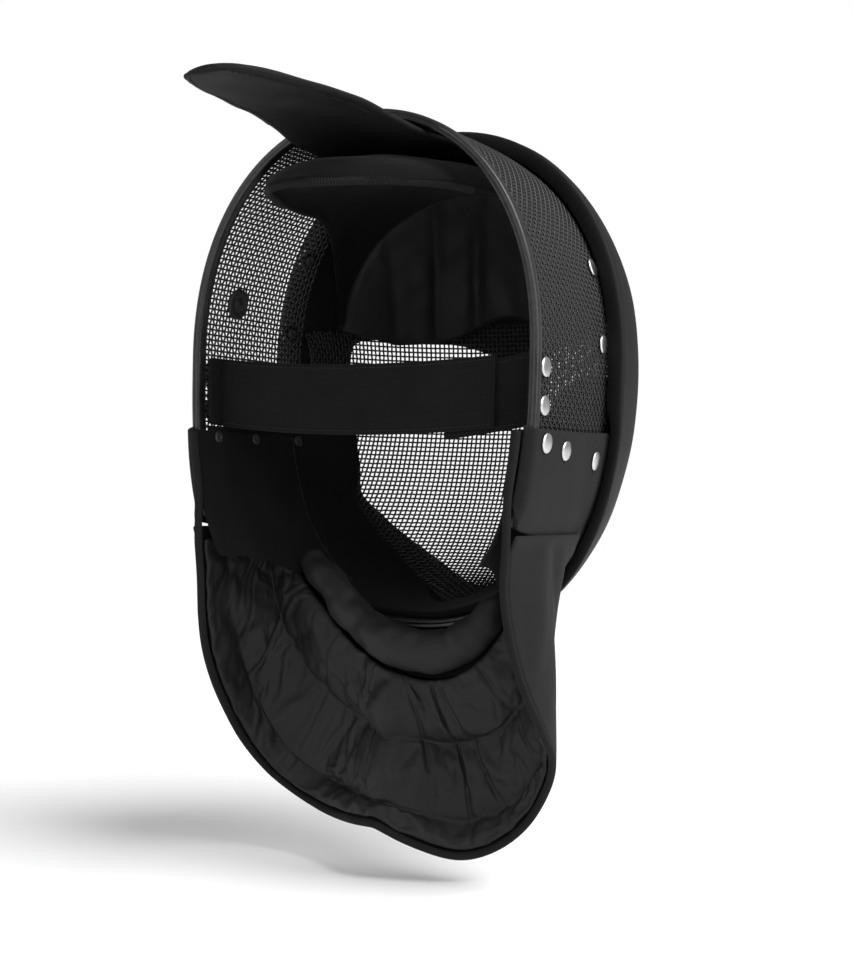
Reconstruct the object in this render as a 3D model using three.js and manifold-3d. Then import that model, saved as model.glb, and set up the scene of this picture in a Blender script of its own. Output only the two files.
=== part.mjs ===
// A fencing mask with its tongue, padded cover, straps and quilted bib.
// Millimetres, +X to the wearer's left, -Y forward, +Z up. The origin is where the crown of the head sits.
import * as THREE from 'three';
import { mergeVertices } from 'three/addons/utils/BufferGeometryUtils.js';
import Module from 'manifold-3d';

const wasm = await Module();
wasm.setup();

// Wire shell: an arch at the back, a bowl in front, a rounded chin below.
const SHELL_HALF_WIDTH = 107.4;
const CROWN_RISE = 129.5;
const CHIN_DROP = 151;
const SHELL_DEPTH = 196;
const SHELL_WALL = 2;
const JAW_DROP = 96;
const JAW_FORWARD = 80;
const CHIN_SETBACK = 62;
const EDGE_TURN = 6;
const ARCH_POWER = 2.15;
const JAW_POWER = 2.8;
const CHIN_POWER = 2;
const GIRTH_POWER = 2.05;
const DEPTH_POWER = 3.9;

// Where the crown of the head sits, forward of the rim plane.
const SEAT_FORWARD = 50;

// Clearances between pieces that lie on each other.
const GAP = 0.4;
const HOLE_CLEARANCE = 0.6;
const TRIM_CLEARANCE = 1.1;
const HEAD_CLEARANCE = 0.4;
const WASHER_CLEARANCE = 1.4;

// Rim trim: a folded metal channel over the edge of the shell.
const TRIM_FOLD = 1.5;
const TRIM_BEHIND = 3;
const TRIM_LAP = 3;

// Padded cover over the forehead, cheeks and chin.
const COVER_THICKNESS = 6;
const COVER_STANDOFF = 4.8;
const COVER_BACK_EDGE = 94;
const WINDOW_HALF_WIDTH = 99;
const WINDOW_TOP = 27;
const WINDOW_DROP = 134;

// Bib: a flat band on the shell and a quilted apron that hangs from it.
const BAND_TOP_DROP = 40;
const BAND_THICKNESS = 1.8;
const BAND_OVERHANG = 7;
const BAND_HEM = 6.5;
const BAND_HEM_DROP = 80;
const BAND_FORWARD = 102;
const BAND_TUCK = 1.5;
const BIB_DROP = 265;
const BIB_HALF_WIDTH = 103;
const BIB_SWEEP = 61;
const BIB_CLOTH = 1.8;
const SEAM_BELOW_BAND = 5;
const QUILT_THICKNESS = 9;
const QUILT_SEAM = 3;
const PIPING_RADIUS = 2.6;

// Linings and pads inside.
const LINING_THICKNESS = 4;
const LINING_TOP = 7;
const LINING_MARGIN = 13;
const FOREHEAD_THICKNESS = 11;
const FOREHEAD_STANDOFF = 2.4;
const FOREHEAD_BOTTOM = 18;
const FOREHEAD_BACK = 121;
const FOREHEAD_CORNER = 6;
const CROWN_PAD_THICKNESS = 7;
const CROWN_PAD_REACH = 62;
const CROWN_PAD_SIDE_MARGIN = 22.9;
const CROWN_PAD_CLEARANCE = 1.5;
const ROLL_RADIUS = 12;
const ROLL_END = 0.8;
const ROLL_TAPER = 0.5;
const ROLL_STANDOFF = 0.6;

// Tongue: a padded leaf that bears on the back of the head.
const TONGUE_REACH = 150;
const TONGUE_INSIDE = 45;
const TONGUE_HALF_WIDTH = 41;
const TONGUE_THICKNESS = 7;
const TONGUE_DROP = 11.5;
const TONGUE_LIFT = 5;
const TONGUE_BOW = 2;
const TONGUE_SIDESTEP = -5;

// Straps across the back.
const STRAP_WIDTH = 39;
const STRAP_THICKNESS = 2.2;
const STRAP_HEIGHT = -19;
const STRAP_SAG = 6;
const STRAP_FORWARD = 14;
const STRAP_BOW = 10;
const STRAP_FREE_END = 80;
const STRAP_TAIL_END = 50;
const STRAP_TAIL_TILT = 4;
const STRAP_TAB = 5;

// Rivets and the side disc.
const HEAD_RADIUS = 5.4;
const HEAD_HEIGHT = 1.6;
const SHANK_RADIUS = 1.6;
const WASHER_RADIUS = 3.5;
const WASHER_HEIGHT = 1;
const STRAP_RIVET_FORWARD = 9.5;
const STRAP_RIVET_SPACING = 20;
// Bib rivets: how far each stands below the band's top and forward of the rim, on either side.
const BIB_RIVETS = {
  left: [{ below: 6, forward: 8 }, { below: 6, forward: 44 }, { below: 6, forward: 86 }],
  right: [{ below: 8, forward: 8 }, { below: 11, forward: 33 }, { below: 15, forward: 77 }],
};
const TONGUE_RIVET_FORWARD = 30;
const TONGUE_RIVET_SPREAD = 22;
const COVER_SNAP_FORWARD = 87;
const COVER_SNAP_HEIGHTS = { left: [67, 22], right: [52, 9] };
const DISC_RADIUS = 9;
const DISC_THICKNESS = 2;
const DISC_FORWARD = 30;
const DISC_HEIGHT = 34;
const DISC_CLEARANCE = 0.8;

// How finely the curved pieces are divided.
const ARCH_COLUMNS = 18;
const COVER_COLUMNS = 40;
const APRON_COLUMNS = 24;
const FOREHEAD_COLUMNS = 16;
const PIPING_STEPS = 56;

const FINISHES = {
  trim: [0x2b2d30, 0.35, 0.8],
  wire: [0x16171a, 0.45, 0.7],
  cover: [0x17181b, 0.55, 0.0],
  pad: [0x1d1c22, 0.85, 0.0],
  satin: [0x24262b, 0.5, 0.0],
  cloth: [0x141518, 0.9, 0.0],
  elastic: [0x101113, 0.95, 0.0],
  rivet: [0xb9bcc0, 0.25, 1.0],
  plastic: [0x0c0d0e, 0.5, 0.0],
};

const clamp01 = (v) => Math.min(1, Math.max(0, v));
const smooth = (v) => clamp01(v) ** 2 * (3 - 2 * clamp01(v));
const lerp = (a, b, t) => a + (b - a) * t;

// Reads one column of a table at a share of its first column, along a smooth curve.
function column(table, key, share) {
  const first = Object.keys(table[0])[0];
  let i = 0;
  while (i < table.length - 2 && table[i + 1][first] < share) i += 1;
  const at = (k) => table[Math.min(table.length - 1, Math.max(0, k))];
  const slope = (k) => {
    const [before, after] = [at(k - 1), at(k + 1)];
    return (after[key] - before[key]) / Math.max(1e-9, after[first] - before[first]);
  };
  const span = at(i + 1)[first] - at(i)[first];
  const t = clamp01((share - at(i)[first]) / span);
  const rise = at(i + 1)[key] - at(i)[key];
  const m0 = slope(i) * span;
  const m1 = slope(i + 1) * span;
  return at(i)[key] + t * m0 + t * t * (3 * rise - 2 * m0 - m1) + t * t * t * (m0 + m1 - 2 * rise);
}

// A point of the shell form: an angle round the section from +X, a depth forward, an offset outward.
function shellPoint(angle, forward, offset = 0) {
  const depth = SHELL_DEPTH + offset;
  const share = clamp01(forward / depth);
  const c = Math.cos(angle);
  const s = Math.sin(angle);
  const power = s >= 0 ? ARCH_POWER : lerp(JAW_POWER, CHIN_POWER, share);
  const unit = (Math.abs(c) ** power + Math.abs(s) ** power) ** (-1 / power);
  const narrowing = (1 - share ** DEPTH_POWER) ** (1 / GIRTH_POWER);
  const height = (s >= 0 ? CROWN_RISE : CHIN_DROP) + offset;
  const half = SHELL_HALF_WIDTH + offset;
  return new THREE.Vector3(half * unit * c * narrowing, -forward, height * unit * s * narrowing);
}

function shellNormal(angle, forward) {
  const step = 0.01;
  const around = shellPoint(angle + step, forward).sub(shellPoint(angle - step, forward));
  const along = shellPoint(angle, forward + 1).sub(shellPoint(angle, Math.max(0, forward - 1)));
  const n = around.cross(along).normalize();
  const outward = shellPoint(angle, forward).setY(0);
  return n.dot(outward) < 0 ? n.negate() : n;
}

// The angle at which the section at a depth reaches a height, on the wearer's left (+1) or right (-1).
function angleAtHeight(height, forward, side = 1, offset = 0) {
  let low = -Math.PI / 2;
  let high = Math.PI / 2;
  for (let i = 0; i < 40; i += 1) {
    const mid = (low + high) / 2;
    if (shellPoint(mid, forward, offset).z < height) low = mid;
    else high = mid;
  }
  return side > 0 ? (low + high) / 2 : Math.PI - (low + high) / 2;
}

// Depth of the shell's edge by its drop: upright sides, a turn under the jaw, the chin.
function edgeForward(drop) {
  if (drop < JAW_DROP - EDGE_TURN) return 0;
  const turn = smooth((drop - JAW_DROP + EDGE_TURN) / (1.6 * EDGE_TURN));
  const chin = smooth((drop - JAW_DROP) / (CHIN_DROP - JAW_DROP));
  return turn * lerp(JAW_FORWARD, CHIN_SETBACK, chin);
}

// Drops at which the lower shell has a column: shares of the upright side, of the turn and of the chin.
const UPRIGHT_STATIONS = [0, 0.24, 0.47, 0.71, 0.91];
const TURN_STATIONS = [0, 0.13, 0.29, 0.46, 0.64, 0.82, 1];
const CHIN_STATIONS = [0.19, 0.42, 0.65, 0.86, 0.97];
const turnStart = JAW_DROP - EDGE_TURN;
const turnEnd = JAW_DROP + 0.6 * EDGE_TURN;

// Columns of the shell, from the chin round one side to the other, each an angle and the depth of its edge.
function shellColumns() {
  const drops = [
    ...UPRIGHT_STATIONS.map((share) => share * turnStart),
    ...TURN_STATIONS.map((share) => lerp(turnStart, turnEnd, share)),
    ...CHIN_STATIONS.map((share) => lerp(turnEnd, CHIN_DROP, share)),
  ];
  const lower = drops.map((drop) => {
    const forward = edgeForward(drop);
    return { angle: angleAtHeight(-drop, forward), forward };
  });
  const left = lower.slice(1).reverse();
  const right = lower.slice(1).map((c) => ({ angle: Math.PI - c.angle, forward: c.forward }));
  const arch = [];
  for (let i = 0; i <= ARCH_COLUMNS; i += 1) arch.push({ angle: (Math.PI * i) / ARCH_COLUMNS, forward: 0 });
  const chin = { angle: -Math.PI / 2, forward: edgeForward(CHIN_DROP) };
  return [chin, ...left, ...arch, ...right];
}

const volumeOf = (positions, index) => {
  let six = 0;
  const [a, b, c] = [new THREE.Vector3(), new THREE.Vector3(), new THREE.Vector3()];
  for (let i = 0; i < index.length; i += 3) {
    a.fromArray(positions, 3 * index[i]);
    b.fromArray(positions, 3 * index[i + 1]);
    c.fromArray(positions, 3 * index[i + 2]);
    six += a.dot(b.cross(c));
  }
  return six;
};

// Makes a closed geometry of triangles: shared corners merged, slivers dropped, faces outward.
function closed(positions, index) {
  const geometry = new THREE.BufferGeometry();
  geometry.setAttribute('position', new THREE.Float32BufferAttribute(positions, 3));
  geometry.setIndex(index);
  const merged = mergeVertices(geometry, 1e-3);
  const ids = Array.from(merged.index.array);
  const kept = [];
  for (let i = 0; i < ids.length; i += 3) {
    const [a, b, c] = [ids[i], ids[i + 1], ids[i + 2]];
    if (a !== b && b !== c && a !== c) kept.push(a, b, c);
  }
  if (volumeOf(merged.attributes.position.array, kept) < 0) kept.reverse();
  merged.setIndex(kept);
  return merged;
}

// A wall between two surfaces: point(i, j, side), side 0 outside and 1 inside, closed along its borders.
function wall(across, along, point, wrap = false) {
  const positions = [];
  const columns = wrap ? across : across + 1;
  for (let side = 0; side < 2; side += 1) {
    for (let i = 0; i < columns; i += 1) {
      for (let j = 0; j <= along; j += 1) positions.push(...point(i, j, side).toArray());
    }
  }
  const id = (i, j, side) => side * columns * (along + 1) + (i % columns) * (along + 1) + j;
  const index = [];
  const quad = (a, b, c, d) => index.push(a, b, c, a, c, d);
  for (let i = 0; i < across; i += 1) {
    for (let j = 0; j < along; j += 1) {
      quad(id(i, j, 0), id(i + 1, j, 0), id(i + 1, j + 1, 0), id(i, j + 1, 0));
      quad(id(i, j, 1), id(i, j + 1, 1), id(i + 1, j + 1, 1), id(i + 1, j, 1));
    }
    quad(id(i, 0, 0), id(i, 0, 1), id(i + 1, 0, 1), id(i + 1, 0, 0));
    quad(id(i, along, 0), id(i + 1, along, 0), id(i + 1, along, 1), id(i, along, 1));
  }
  if (!wrap) {
    for (let j = 0; j < along; j += 1) {
      quad(id(0, j, 0), id(0, j + 1, 0), id(0, j + 1, 1), id(0, j, 1));
      quad(id(across, j, 0), id(across, j, 1), id(across, j + 1, 1), id(across, j + 1, 0));
    }
  }
  return closed(positions, index);
}

// A loft of closed sections; ends are fanned unless the loft closes on itself.
function loft(sections, loop = false) {
  const count = sections[0].length;
  const positions = sections.flat().flatMap((p) => p.toArray());
  const index = [];
  const last = loop ? sections.length : sections.length - 1;
  for (let i = 0; i < last; i += 1) {
    const next = (i + 1) % sections.length;
    for (let j = 0; j < count; j += 1) {
      const k = (j + 1) % count;
      const [a, b, c, d] = [i * count + j, i * count + k, next * count + k, next * count + j];
      index.push(a, b, c, a, c, d);
    }
  }
  if (!loop) {
    const end = (sections.length - 1) * count;
    for (let j = 1; j < count - 1; j += 1) {
      index.push(0, j + 1, j, end, end + j, end + j + 1);
    }
  }
  return closed(positions, index);
}

function toManifold(geometry) {
  const bare = geometry.clone();
  bare.deleteAttribute('normal');
  bare.deleteAttribute('uv');
  const merged = mergeVertices(bare, 1e-3);
  return new wasm.Manifold(new wasm.Mesh({
    numProp: 3,
    vertProperties: new Float32Array(merged.attributes.position.array),
    triVerts: new Uint32Array(merged.index.array),
  }));
}

function toGeometry(solid) {
  const mesh = solid.getMesh();
  const geometry = new THREE.BufferGeometry();
  geometry.setAttribute('position', new THREE.Float32BufferAttribute(mesh.vertProperties, 3));
  geometry.setIndex(Array.from(mesh.triVerts));
  return geometry;
}

const cut = (geometry, tools) => toGeometry(
  tools.reduce((solid, tool) => solid.subtract(toManifold(tool)), toManifold(geometry)),
);

// A band of the shell form between two depths at each column, with shares of the way forward.
function shellBand(columns, shares, outer, inner, wrap = false) {
  return wall(wrap ? columns.length : columns.length - 1, shares.length - 1, (i, j, side) => {
    const { angle, forward, end } = columns[i];
    const offset = side === 0 ? outer : inner;
    const finish = end ?? SHELL_DEPTH + offset;
    return shellPoint(angle, lerp(forward, finish, shares[j]), offset);
  }, wrap);
}

const BOWL_SHARES = [0, 0.24, 0.47, 0.66, 0.82, 0.92, 0.975, 1];
const COVER_SHARES = [0, 0.27, 0.52, 0.73, 0.87, 0.96, 1];

// Rivets stand on the shell: head outside, shank through the walls, washer inside.
function rivetAt(angle, forward, outside, inside, washer = true) {
  const place = new THREE.Object3D();
  place.position.copy(shellPoint(angle, forward));
  place.quaternion.setFromUnitVectors(new THREE.Vector3(0, 1, 0), shellNormal(angle, forward));
  place.updateMatrix();
  const profile = [
    [0, outside + HEAD_HEIGHT],
    [0.62 * HEAD_RADIUS, outside + 0.8 * HEAD_HEIGHT],
    [HEAD_RADIUS, outside + 0.25 * HEAD_HEIGHT],
    [HEAD_RADIUS, outside],
    [SHANK_RADIUS, outside],
    [SHANK_RADIUS, inside],
  ];
  if (washer) {
    profile.push([WASHER_RADIUS, inside], [0.8 * WASHER_RADIUS, inside - WASHER_HEIGHT]);
    profile.push([0, inside - WASHER_HEIGHT]);
  } else {
    profile.push([0, inside]);
  }
  const body = new THREE.LatheGeometry(profile.reverse().map(([r, h]) => new THREE.Vector2(r, h)), 8);
  body.applyMatrix4(place.matrix);
  const reach = 30;
  const bore = SHANK_RADIUS + HOLE_CLEARANCE;
  const hole = new THREE.CylinderGeometry(bore, bore, reach, 6);
  hole.applyMatrix4(place.matrix);
  return { body, hole };
}

const shellOuter = SHELL_WALL / 2;
const tongueUnderside = CROWN_RISE - TONGUE_DROP - TONGUE_THICKNESS / 2;
const seatHeight = tongueUnderside - CROWN_PAD_CLEARANCE - CROWN_PAD_THICKNESS;
const crownPadHalfWidth = SHELL_HALF_WIDTH - CROWN_PAD_SIDE_MARGIN;
const bandInner = shellOuter + TRIM_FOLD + GAP;
const bandOuter = bandInner + BAND_THICKNESS;
const liningOuter = -shellOuter - TRIM_FOLD - GAP;
const liningInner = liningOuter - LINING_THICKNESS;
const strapOffset = shellOuter + TRIM_FOLD + GAP;
const tabFront = STRAP_FORWARD + STRAP_TAB;

const sides = [['left', 1], ['right', -1]];

const rivets = {};
for (const [name, side] of sides) {
  [0.5, -0.5].forEach((step, i) => {
    const height = STRAP_HEIGHT + step * STRAP_RIVET_SPACING;
    const angle = angleAtHeight(height, STRAP_RIVET_FORWARD, side);
    const inside = -strapOffset - 0.6 * STRAP_THICKNESS;
    const rivet = rivetAt(angle, STRAP_RIVET_FORWARD, shellOuter + HEAD_CLEARANCE, inside, false);
    rivets[`strap_rivet_${name}_${i + 1}`] = rivet;
  });
  BIB_RIVETS[name].forEach(({ below, forward }, i) => {
    const angle = angleAtHeight(-BAND_TOP_DROP - below, forward, side);
    const rivet = rivetAt(angle, forward, bandOuter + HEAD_CLEARANCE, liningInner - WASHER_CLEARANCE);
    rivets[`bib_rivet_${name}_${i + 1}`] = rivet;
  });
  COVER_SNAP_HEIGHTS[name].forEach((height, i) => {
    const angle = angleAtHeight(height, COVER_SNAP_FORWARD, side);
    const [outside, inside] = [shellOuter + HEAD_CLEARANCE, -shellOuter - WASHER_CLEARANCE];
    rivets[`cover_snap_${name}_${i + 1}`] = rivetAt(angle, COVER_SNAP_FORWARD, outside, inside);
  });
}
for (const [name, side] of sides) {
  const forward = TONGUE_RIVET_FORWARD;
  const angle = Math.PI / 2 - side * Math.asin(TONGUE_RIVET_SPREAD / SHELL_HALF_WIDTH);
  const outside = shellOuter + HEAD_CLEARANCE;
  rivets[`tongue_rivet_${name}`] = rivetAt(angle, forward, outside, -TONGUE_DROP, false);
}

// Clearance holes of all rivets whose names start with one of the prefixes.
const holes = (prefixes) => Object.entries(rivets)
  .filter(([name]) => prefixes.some((prefix) => name.startsWith(prefix)))
  .map(([, rivet]) => rivet.hole);

function meshShell() {
  const bowl = shellBand(shellColumns(), BOWL_SHARES, shellOuter, -shellOuter, true);
  return cut(bowl, holes(['strap_rivet', 'bib_rivet', 'cover_snap', 'tongue_rivet']));
}

// The channel follows the shell's edge: n points out of the wall and m into it from the edge.
function rimTrim() {
  const columns = shellColumns();
  const count = columns.length;
  const edge = columns.map((c) => shellPoint(c.angle, c.forward));
  const slot = shellOuter + TRIM_CLEARANCE;
  const section = [
    [shellOuter + TRIM_FOLD, TRIM_LAP],
    [shellOuter + TRIM_FOLD, 1 - TRIM_BEHIND],
    [shellOuter, -TRIM_BEHIND],
    [-shellOuter, -TRIM_BEHIND],
    [-shellOuter - TRIM_FOLD, 1 - TRIM_BEHIND],
    [-shellOuter - TRIM_FOLD, TRIM_LAP],
    [-slot, TRIM_LAP],
    [-slot, -TRIM_CLEARANCE],
    [slot, -TRIM_CLEARANCE],
    [slot, TRIM_LAP],
  ];
  return loft(edge.map((p, i) => {
    const tangent = edge[(i + 1) % count].clone().sub(edge[(i + count - 1) % count]).normalize();
    const n = shellNormal(columns[i].angle, columns[i].forward);
    const m = new THREE.Vector3().crossVectors(n, tangent).normalize();
    return section.map(([a, b]) => p.clone().addScaledVector(n, a).addScaledVector(m, b));
  }), true);
}

// Face window outline, as shares of its half width and of its drop below the springing line.
const WINDOW_OUTLINE = [
  { across: 0.97, drop: -0.2 },
  { across: 1, drop: -0.05 },
  { across: 1, drop: 0.1 },
  { across: 0.965, drop: 0.3 },
  { across: 0.915, drop: 0.47 },
  { across: 0.83, drop: 0.64 },
  { across: 0.63, drop: 0.8 },
  { across: 0.34, drop: 0.935 },
  { across: 0, drop: 1 },
];

function windowPrism() {
  const half = WINDOW_OUTLINE.map(({ across, drop }, i) => [
    across * WINDOW_HALF_WIDTH,
    i === 0 ? WINDOW_TOP : -drop * WINDOW_DROP,
  ]);
  const outline = [...half, ...half.slice(0, -1).reverse().map(([x, z]) => [-x, z])];
  const shape = new THREE.Shape(outline.map(([x, z]) => new THREE.Vector2(x, z)));
  const depth = SHELL_DEPTH + 2 * COVER_THICKNESS + COVER_STANDOFF - COVER_BACK_EDGE;
  const prism = new THREE.ExtrudeGeometry(shape, { depth, bevelEnabled: false });
  prism.rotateX(Math.PI / 2);
  prism.translate(0, -COVER_BACK_EDGE - COVER_THICKNESS, 0);
  return prism;
}

const coverInner = shellOuter + COVER_STANDOFF;
const coverOuter = coverInner + COVER_THICKNESS;

function outerCover() {
  const columns = Array.from({ length: COVER_COLUMNS }, (_, i) => ({
    angle: (2 * Math.PI * i) / COVER_COLUMNS - Math.PI / 2,
    forward: COVER_BACK_EDGE,
  }));
  return cut(shellBand(columns, COVER_SHARES, coverOuter, coverInner, true), [windowPrism()]);
}

// The lower columns of the shell between two drops, from one side round the chin to the other.
function lowerColumns(topDrop) {
  const all = shellColumns();
  const start = { angle: angleAtHeight(-topDrop, 0), forward: 0 };
  const right = all.filter((c) => c.angle > Math.PI && c.angle > Math.PI - start.angle + 0.03);
  const below = (c) => c.angle < 0 && c.angle < start.angle - 0.03;
  const left = all.filter((c) => below(c) && c.angle > -Math.PI / 2 + 1e-6);
  const chin = all.filter((c) => Math.abs(c.angle + Math.PI / 2) < 1e-6);
  const mirrored = { angle: Math.PI - start.angle, forward: start.forward };
  const wrapped = [mirrored, ...right].map((c) => ({ ...c, angle: c.angle - 2 * Math.PI }));
  return [...wrapped, ...chin, ...left, start];
}

// The band stands further behind the rim at the sides than under the chin.
const bandOverhang = (drop) => {
  const share = smooth((drop - JAW_DROP) / EDGE_TURN);
  return lerp(BAND_OVERHANG, TRIM_BEHIND + 2 * GAP, share);
};

// Behind the upright sides of the rim the band turns inward by a hem.
const hemAt = (drop) => 1 - smooth((drop - BAND_HEM_DROP) / (turnStart - BAND_HEM_DROP));

function bibBand() {
  const columns = lowerColumns(BAND_TOP_DROP);
  const shares = [0, 0, 0.33, 0.67, 1];
  const band = wall(columns.length - 1, shares.length - 1, (i, j, side) => {
    const { angle, forward } = columns[i];
    const drop = -shellPoint(angle, forward).z;
    const [overhang, hem] = [bandOverhang(drop), hemAt(drop)];
    const turn = lerp(overhang, TRIM_BEHIND + GAP, hem * (side === 0 ? 0.75 : 1));
    const back = lerp(overhang, overhang - 0.65 * BAND_THICKNESS, hem * side);
    const start = forward - (j === 0 ? back : lerp(overhang - BAND_THICKNESS / 2, turn, hem));
    const offset = (side === 0 ? bandOuter : bandInner) - (j === 0 ? BAND_HEM * hem : 0);
    return shellPoint(angle, lerp(start, BAND_FORWARD, shares[j]), offset);
  });
  return cut(band, holes(['bib_rivet']));
}

// Cheek and chin lining: its top line rises from below the strap's end to the window.
const LINING_TOP_LINE = [
  { along: 0, height: 0 },
  { along: 0.25, height: 0.45 },
  { along: 0.6, height: 0.8 },
  { along: 1, height: 1 },
];
function cheekLining() {
  const strapBottom = STRAP_HEIGHT - STRAP_WIDTH / 2 - 6 * GAP;
  const tops = LINING_TOP_LINE.map(({ along, height }) => {
    const forward = lerp(tabFront + GAP, COVER_BACK_EDGE, along);
    const level = lerp(strapBottom, LINING_TOP, height);
    return { angle: angleAtHeight(level, forward), forward };
  }).reverse();
  const low = lowerColumns(-strapBottom + GAP).map((c) => ({ ...c, forward: c.forward + TRIM_LAP + GAP }));
  const mirrored = tops.map((c) => ({ ...c, angle: -Math.PI - c.angle }));
  const columns = [...mirrored, ...low, ...tops.slice().reverse()].map((c) => ({
    ...c,
    end: windowDepth(c.angle, liningInner, LINING_MARGIN),
  }));
  const lining = shellBand(columns, [0, 0.35, 0.62, 0.83, 1], liningOuter, liningInner);
  return cut(lining, holes(['bib_rivet', 'cover_snap']));
}

// The depth at which the shell form meets the window's outline, less a margin, at an angle of the section.
function windowDepth(angle, offset, margin) {
  let low = COVER_BACK_EDGE;
  let high = SHELL_DEPTH + offset;
  const inside = (forward) => {
    const p = shellPoint(angle, forward, offset);
    const drop = clamp01(-p.z / WINDOW_DROP);
    const half = column(windowByDrop, 'across', drop) * (WINDOW_HALF_WIDTH - margin);
    return Math.abs(p.x) < half && -p.z < WINDOW_DROP;
  };
  for (let i = 0; i < 30; i += 1) {
    const mid = (low + high) / 2;
    if (inside(mid)) high = mid;
    else low = mid;
  }
  return low;
}
const windowByDrop = WINDOW_OUTLINE.slice(1).map(({ across, drop }) => ({ drop, across }));

function foreheadPad() {
  const outer = -shellOuter - FOREHEAD_STANDOFF;
  const inner = outer - FOREHEAD_THICKNESS;
  const startAngle = angleAtHeight(FOREHEAD_BOTTOM + FOREHEAD_CORNER, FOREHEAD_BACK, 1, inner);
  const columns = Array.from(
    { length: FOREHEAD_COLUMNS + 1 },
    (_, i) => lerp(startAngle, Math.PI - startAngle, i / FOREHEAD_COLUMNS),
  );
  const bottom = (angle, offset) => {
    const unit = shellPoint(angle, 0, offset).z;
    const narrowing = FOREHEAD_BOTTOM / unit;
    return (SHELL_DEPTH + offset) * (1 - narrowing ** GIRTH_POWER) ** (1 / DEPTH_POWER);
  };
  const shares = [0, 0.3, 0.55, 0.75, 0.9, 1];
  return wall(FOREHEAD_COLUMNS, shares.length - 1, (i, j, side) => {
    const offset = side === 0 ? outer : inner;
    return shellPoint(columns[i], lerp(FOREHEAD_BACK, bottom(columns[i], offset), shares[j]), offset);
  });
}

// Crown pad, from its flap's tip behind the rim to the forehead: half width, edge and middle heights.
const CROWN_PAD_ROWS = [
  { along: 0, width: 0.05, edge: 0.775, middle: 0.78 },
  { along: 0.02, width: 0.16, edge: 0.775, middle: 0.79 },
  { along: 0.06, width: 0.26, edge: 0.785, middle: 0.82 },
  { along: 0.12, width: 0.36, edge: 0.8, middle: 0.86 },
  { along: 0.23, width: 0.53, edge: 0.815, middle: 0.905 },
  { along: 0.34, width: 0.64, edge: 0.825, middle: 0.945 },
  { along: 0.45, width: 0.73, edge: 0.815, middle: 0.975 },
  { along: 0.56, width: 0.76, edge: 0.805, middle: 0.995 },
  { along: 0.67, width: 0.765, edge: 0.8, middle: 1 },
  { along: 0.78, width: 0.82, edge: 0.745, middle: 1 },
  { along: 0.86, width: 0.885, edge: 0.655, middle: 0.995 },
  { along: 0.94, width: 0.955, edge: 0.45, middle: 0.985 },
  { along: 1, width: 1, edge: 0.245, middle: 0.975 },
];

function crownPad() {
  const across = 10;
  const along = 14;
  return wall(across, along, (i, j, side) => {
    const share = (j / along) ** 1.15;
    const forward = lerp(-CROWN_PAD_REACH, FOREHEAD_BACK - GAP, share);
    const grow = side === 0 ? CROWN_PAD_THICKNESS * clamp01(0.35 + 6 * share) : 0;
    const width = column(CROWN_PAD_ROWS, 'width', share) * crownPadHalfWidth + 0.6 * grow;
    const edge = column(CROWN_PAD_ROWS, 'edge', share) * seatHeight;
    const middle = column(CROWN_PAD_ROWS, 'middle', share) * seatHeight + grow;
    const turn = (Math.PI * i) / across;
    return new THREE.Vector3(width * Math.cos(turn), -forward, edge + (middle - edge) * Math.sin(turn));
  });
}

// Tongue: half width and lift along its reach, from the fixed end inside the crown to the tip.
const TONGUE_ROWS = [
  { along: 0, width: 0.9, lift: 0 },
  { along: 0.04, width: 1, lift: 0 },
  { along: 0.23, width: 1, lift: 0 },
  { along: 0.4, width: 0.9, lift: 0.55 },
  { along: 0.55, width: 0.82, lift: 0.95 },
  { along: 0.67, width: 0.76, lift: 1 },
  { along: 0.76, width: 0.69, lift: 1 },
  { along: 0.86, width: 0.55, lift: 0.9 },
  { along: 0.94, width: 0.38, lift: 0.8 },
  { along: 0.985, width: 0.21, lift: 0.7 },
  { along: 1, width: 0.05, lift: 0.65 },
];

function tongue() {
  const across = 6;
  const along = 16;
  const geometry = wall(across, along, (i, j, side) => {
    const share = Math.sin((Math.PI / 2) * (j / along));
    const u = (2 * i) / across - 1;
    const half = column(TONGUE_ROWS, 'width', share) * TONGUE_HALF_WIDTH;
    const lift = column(TONGUE_ROWS, 'lift', share) * TONGUE_LIFT;
    const edgeFall = TONGUE_BOW * u * u;
    const round = Math.sqrt(Math.max(0.05, 1 - u ** 4));
    const thick = TONGUE_THICKNESS * round * Math.sqrt(Math.max(0.12, 1 - share ** 12));
    const z = CROWN_RISE - TONGUE_DROP + lift - edgeFall + (side === 0 ? 0.5 : -0.5) * thick;
    const behind = lerp(-TONGUE_INSIDE, TONGUE_REACH, share);
    const aside = TONGUE_SIDESTEP * smooth((2 * behind) / TONGUE_REACH);
    return new THREE.Vector3(u * half + aside, behind, z);
  });
  return cut(geometry, holes(['tongue_rivet']));
}

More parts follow.
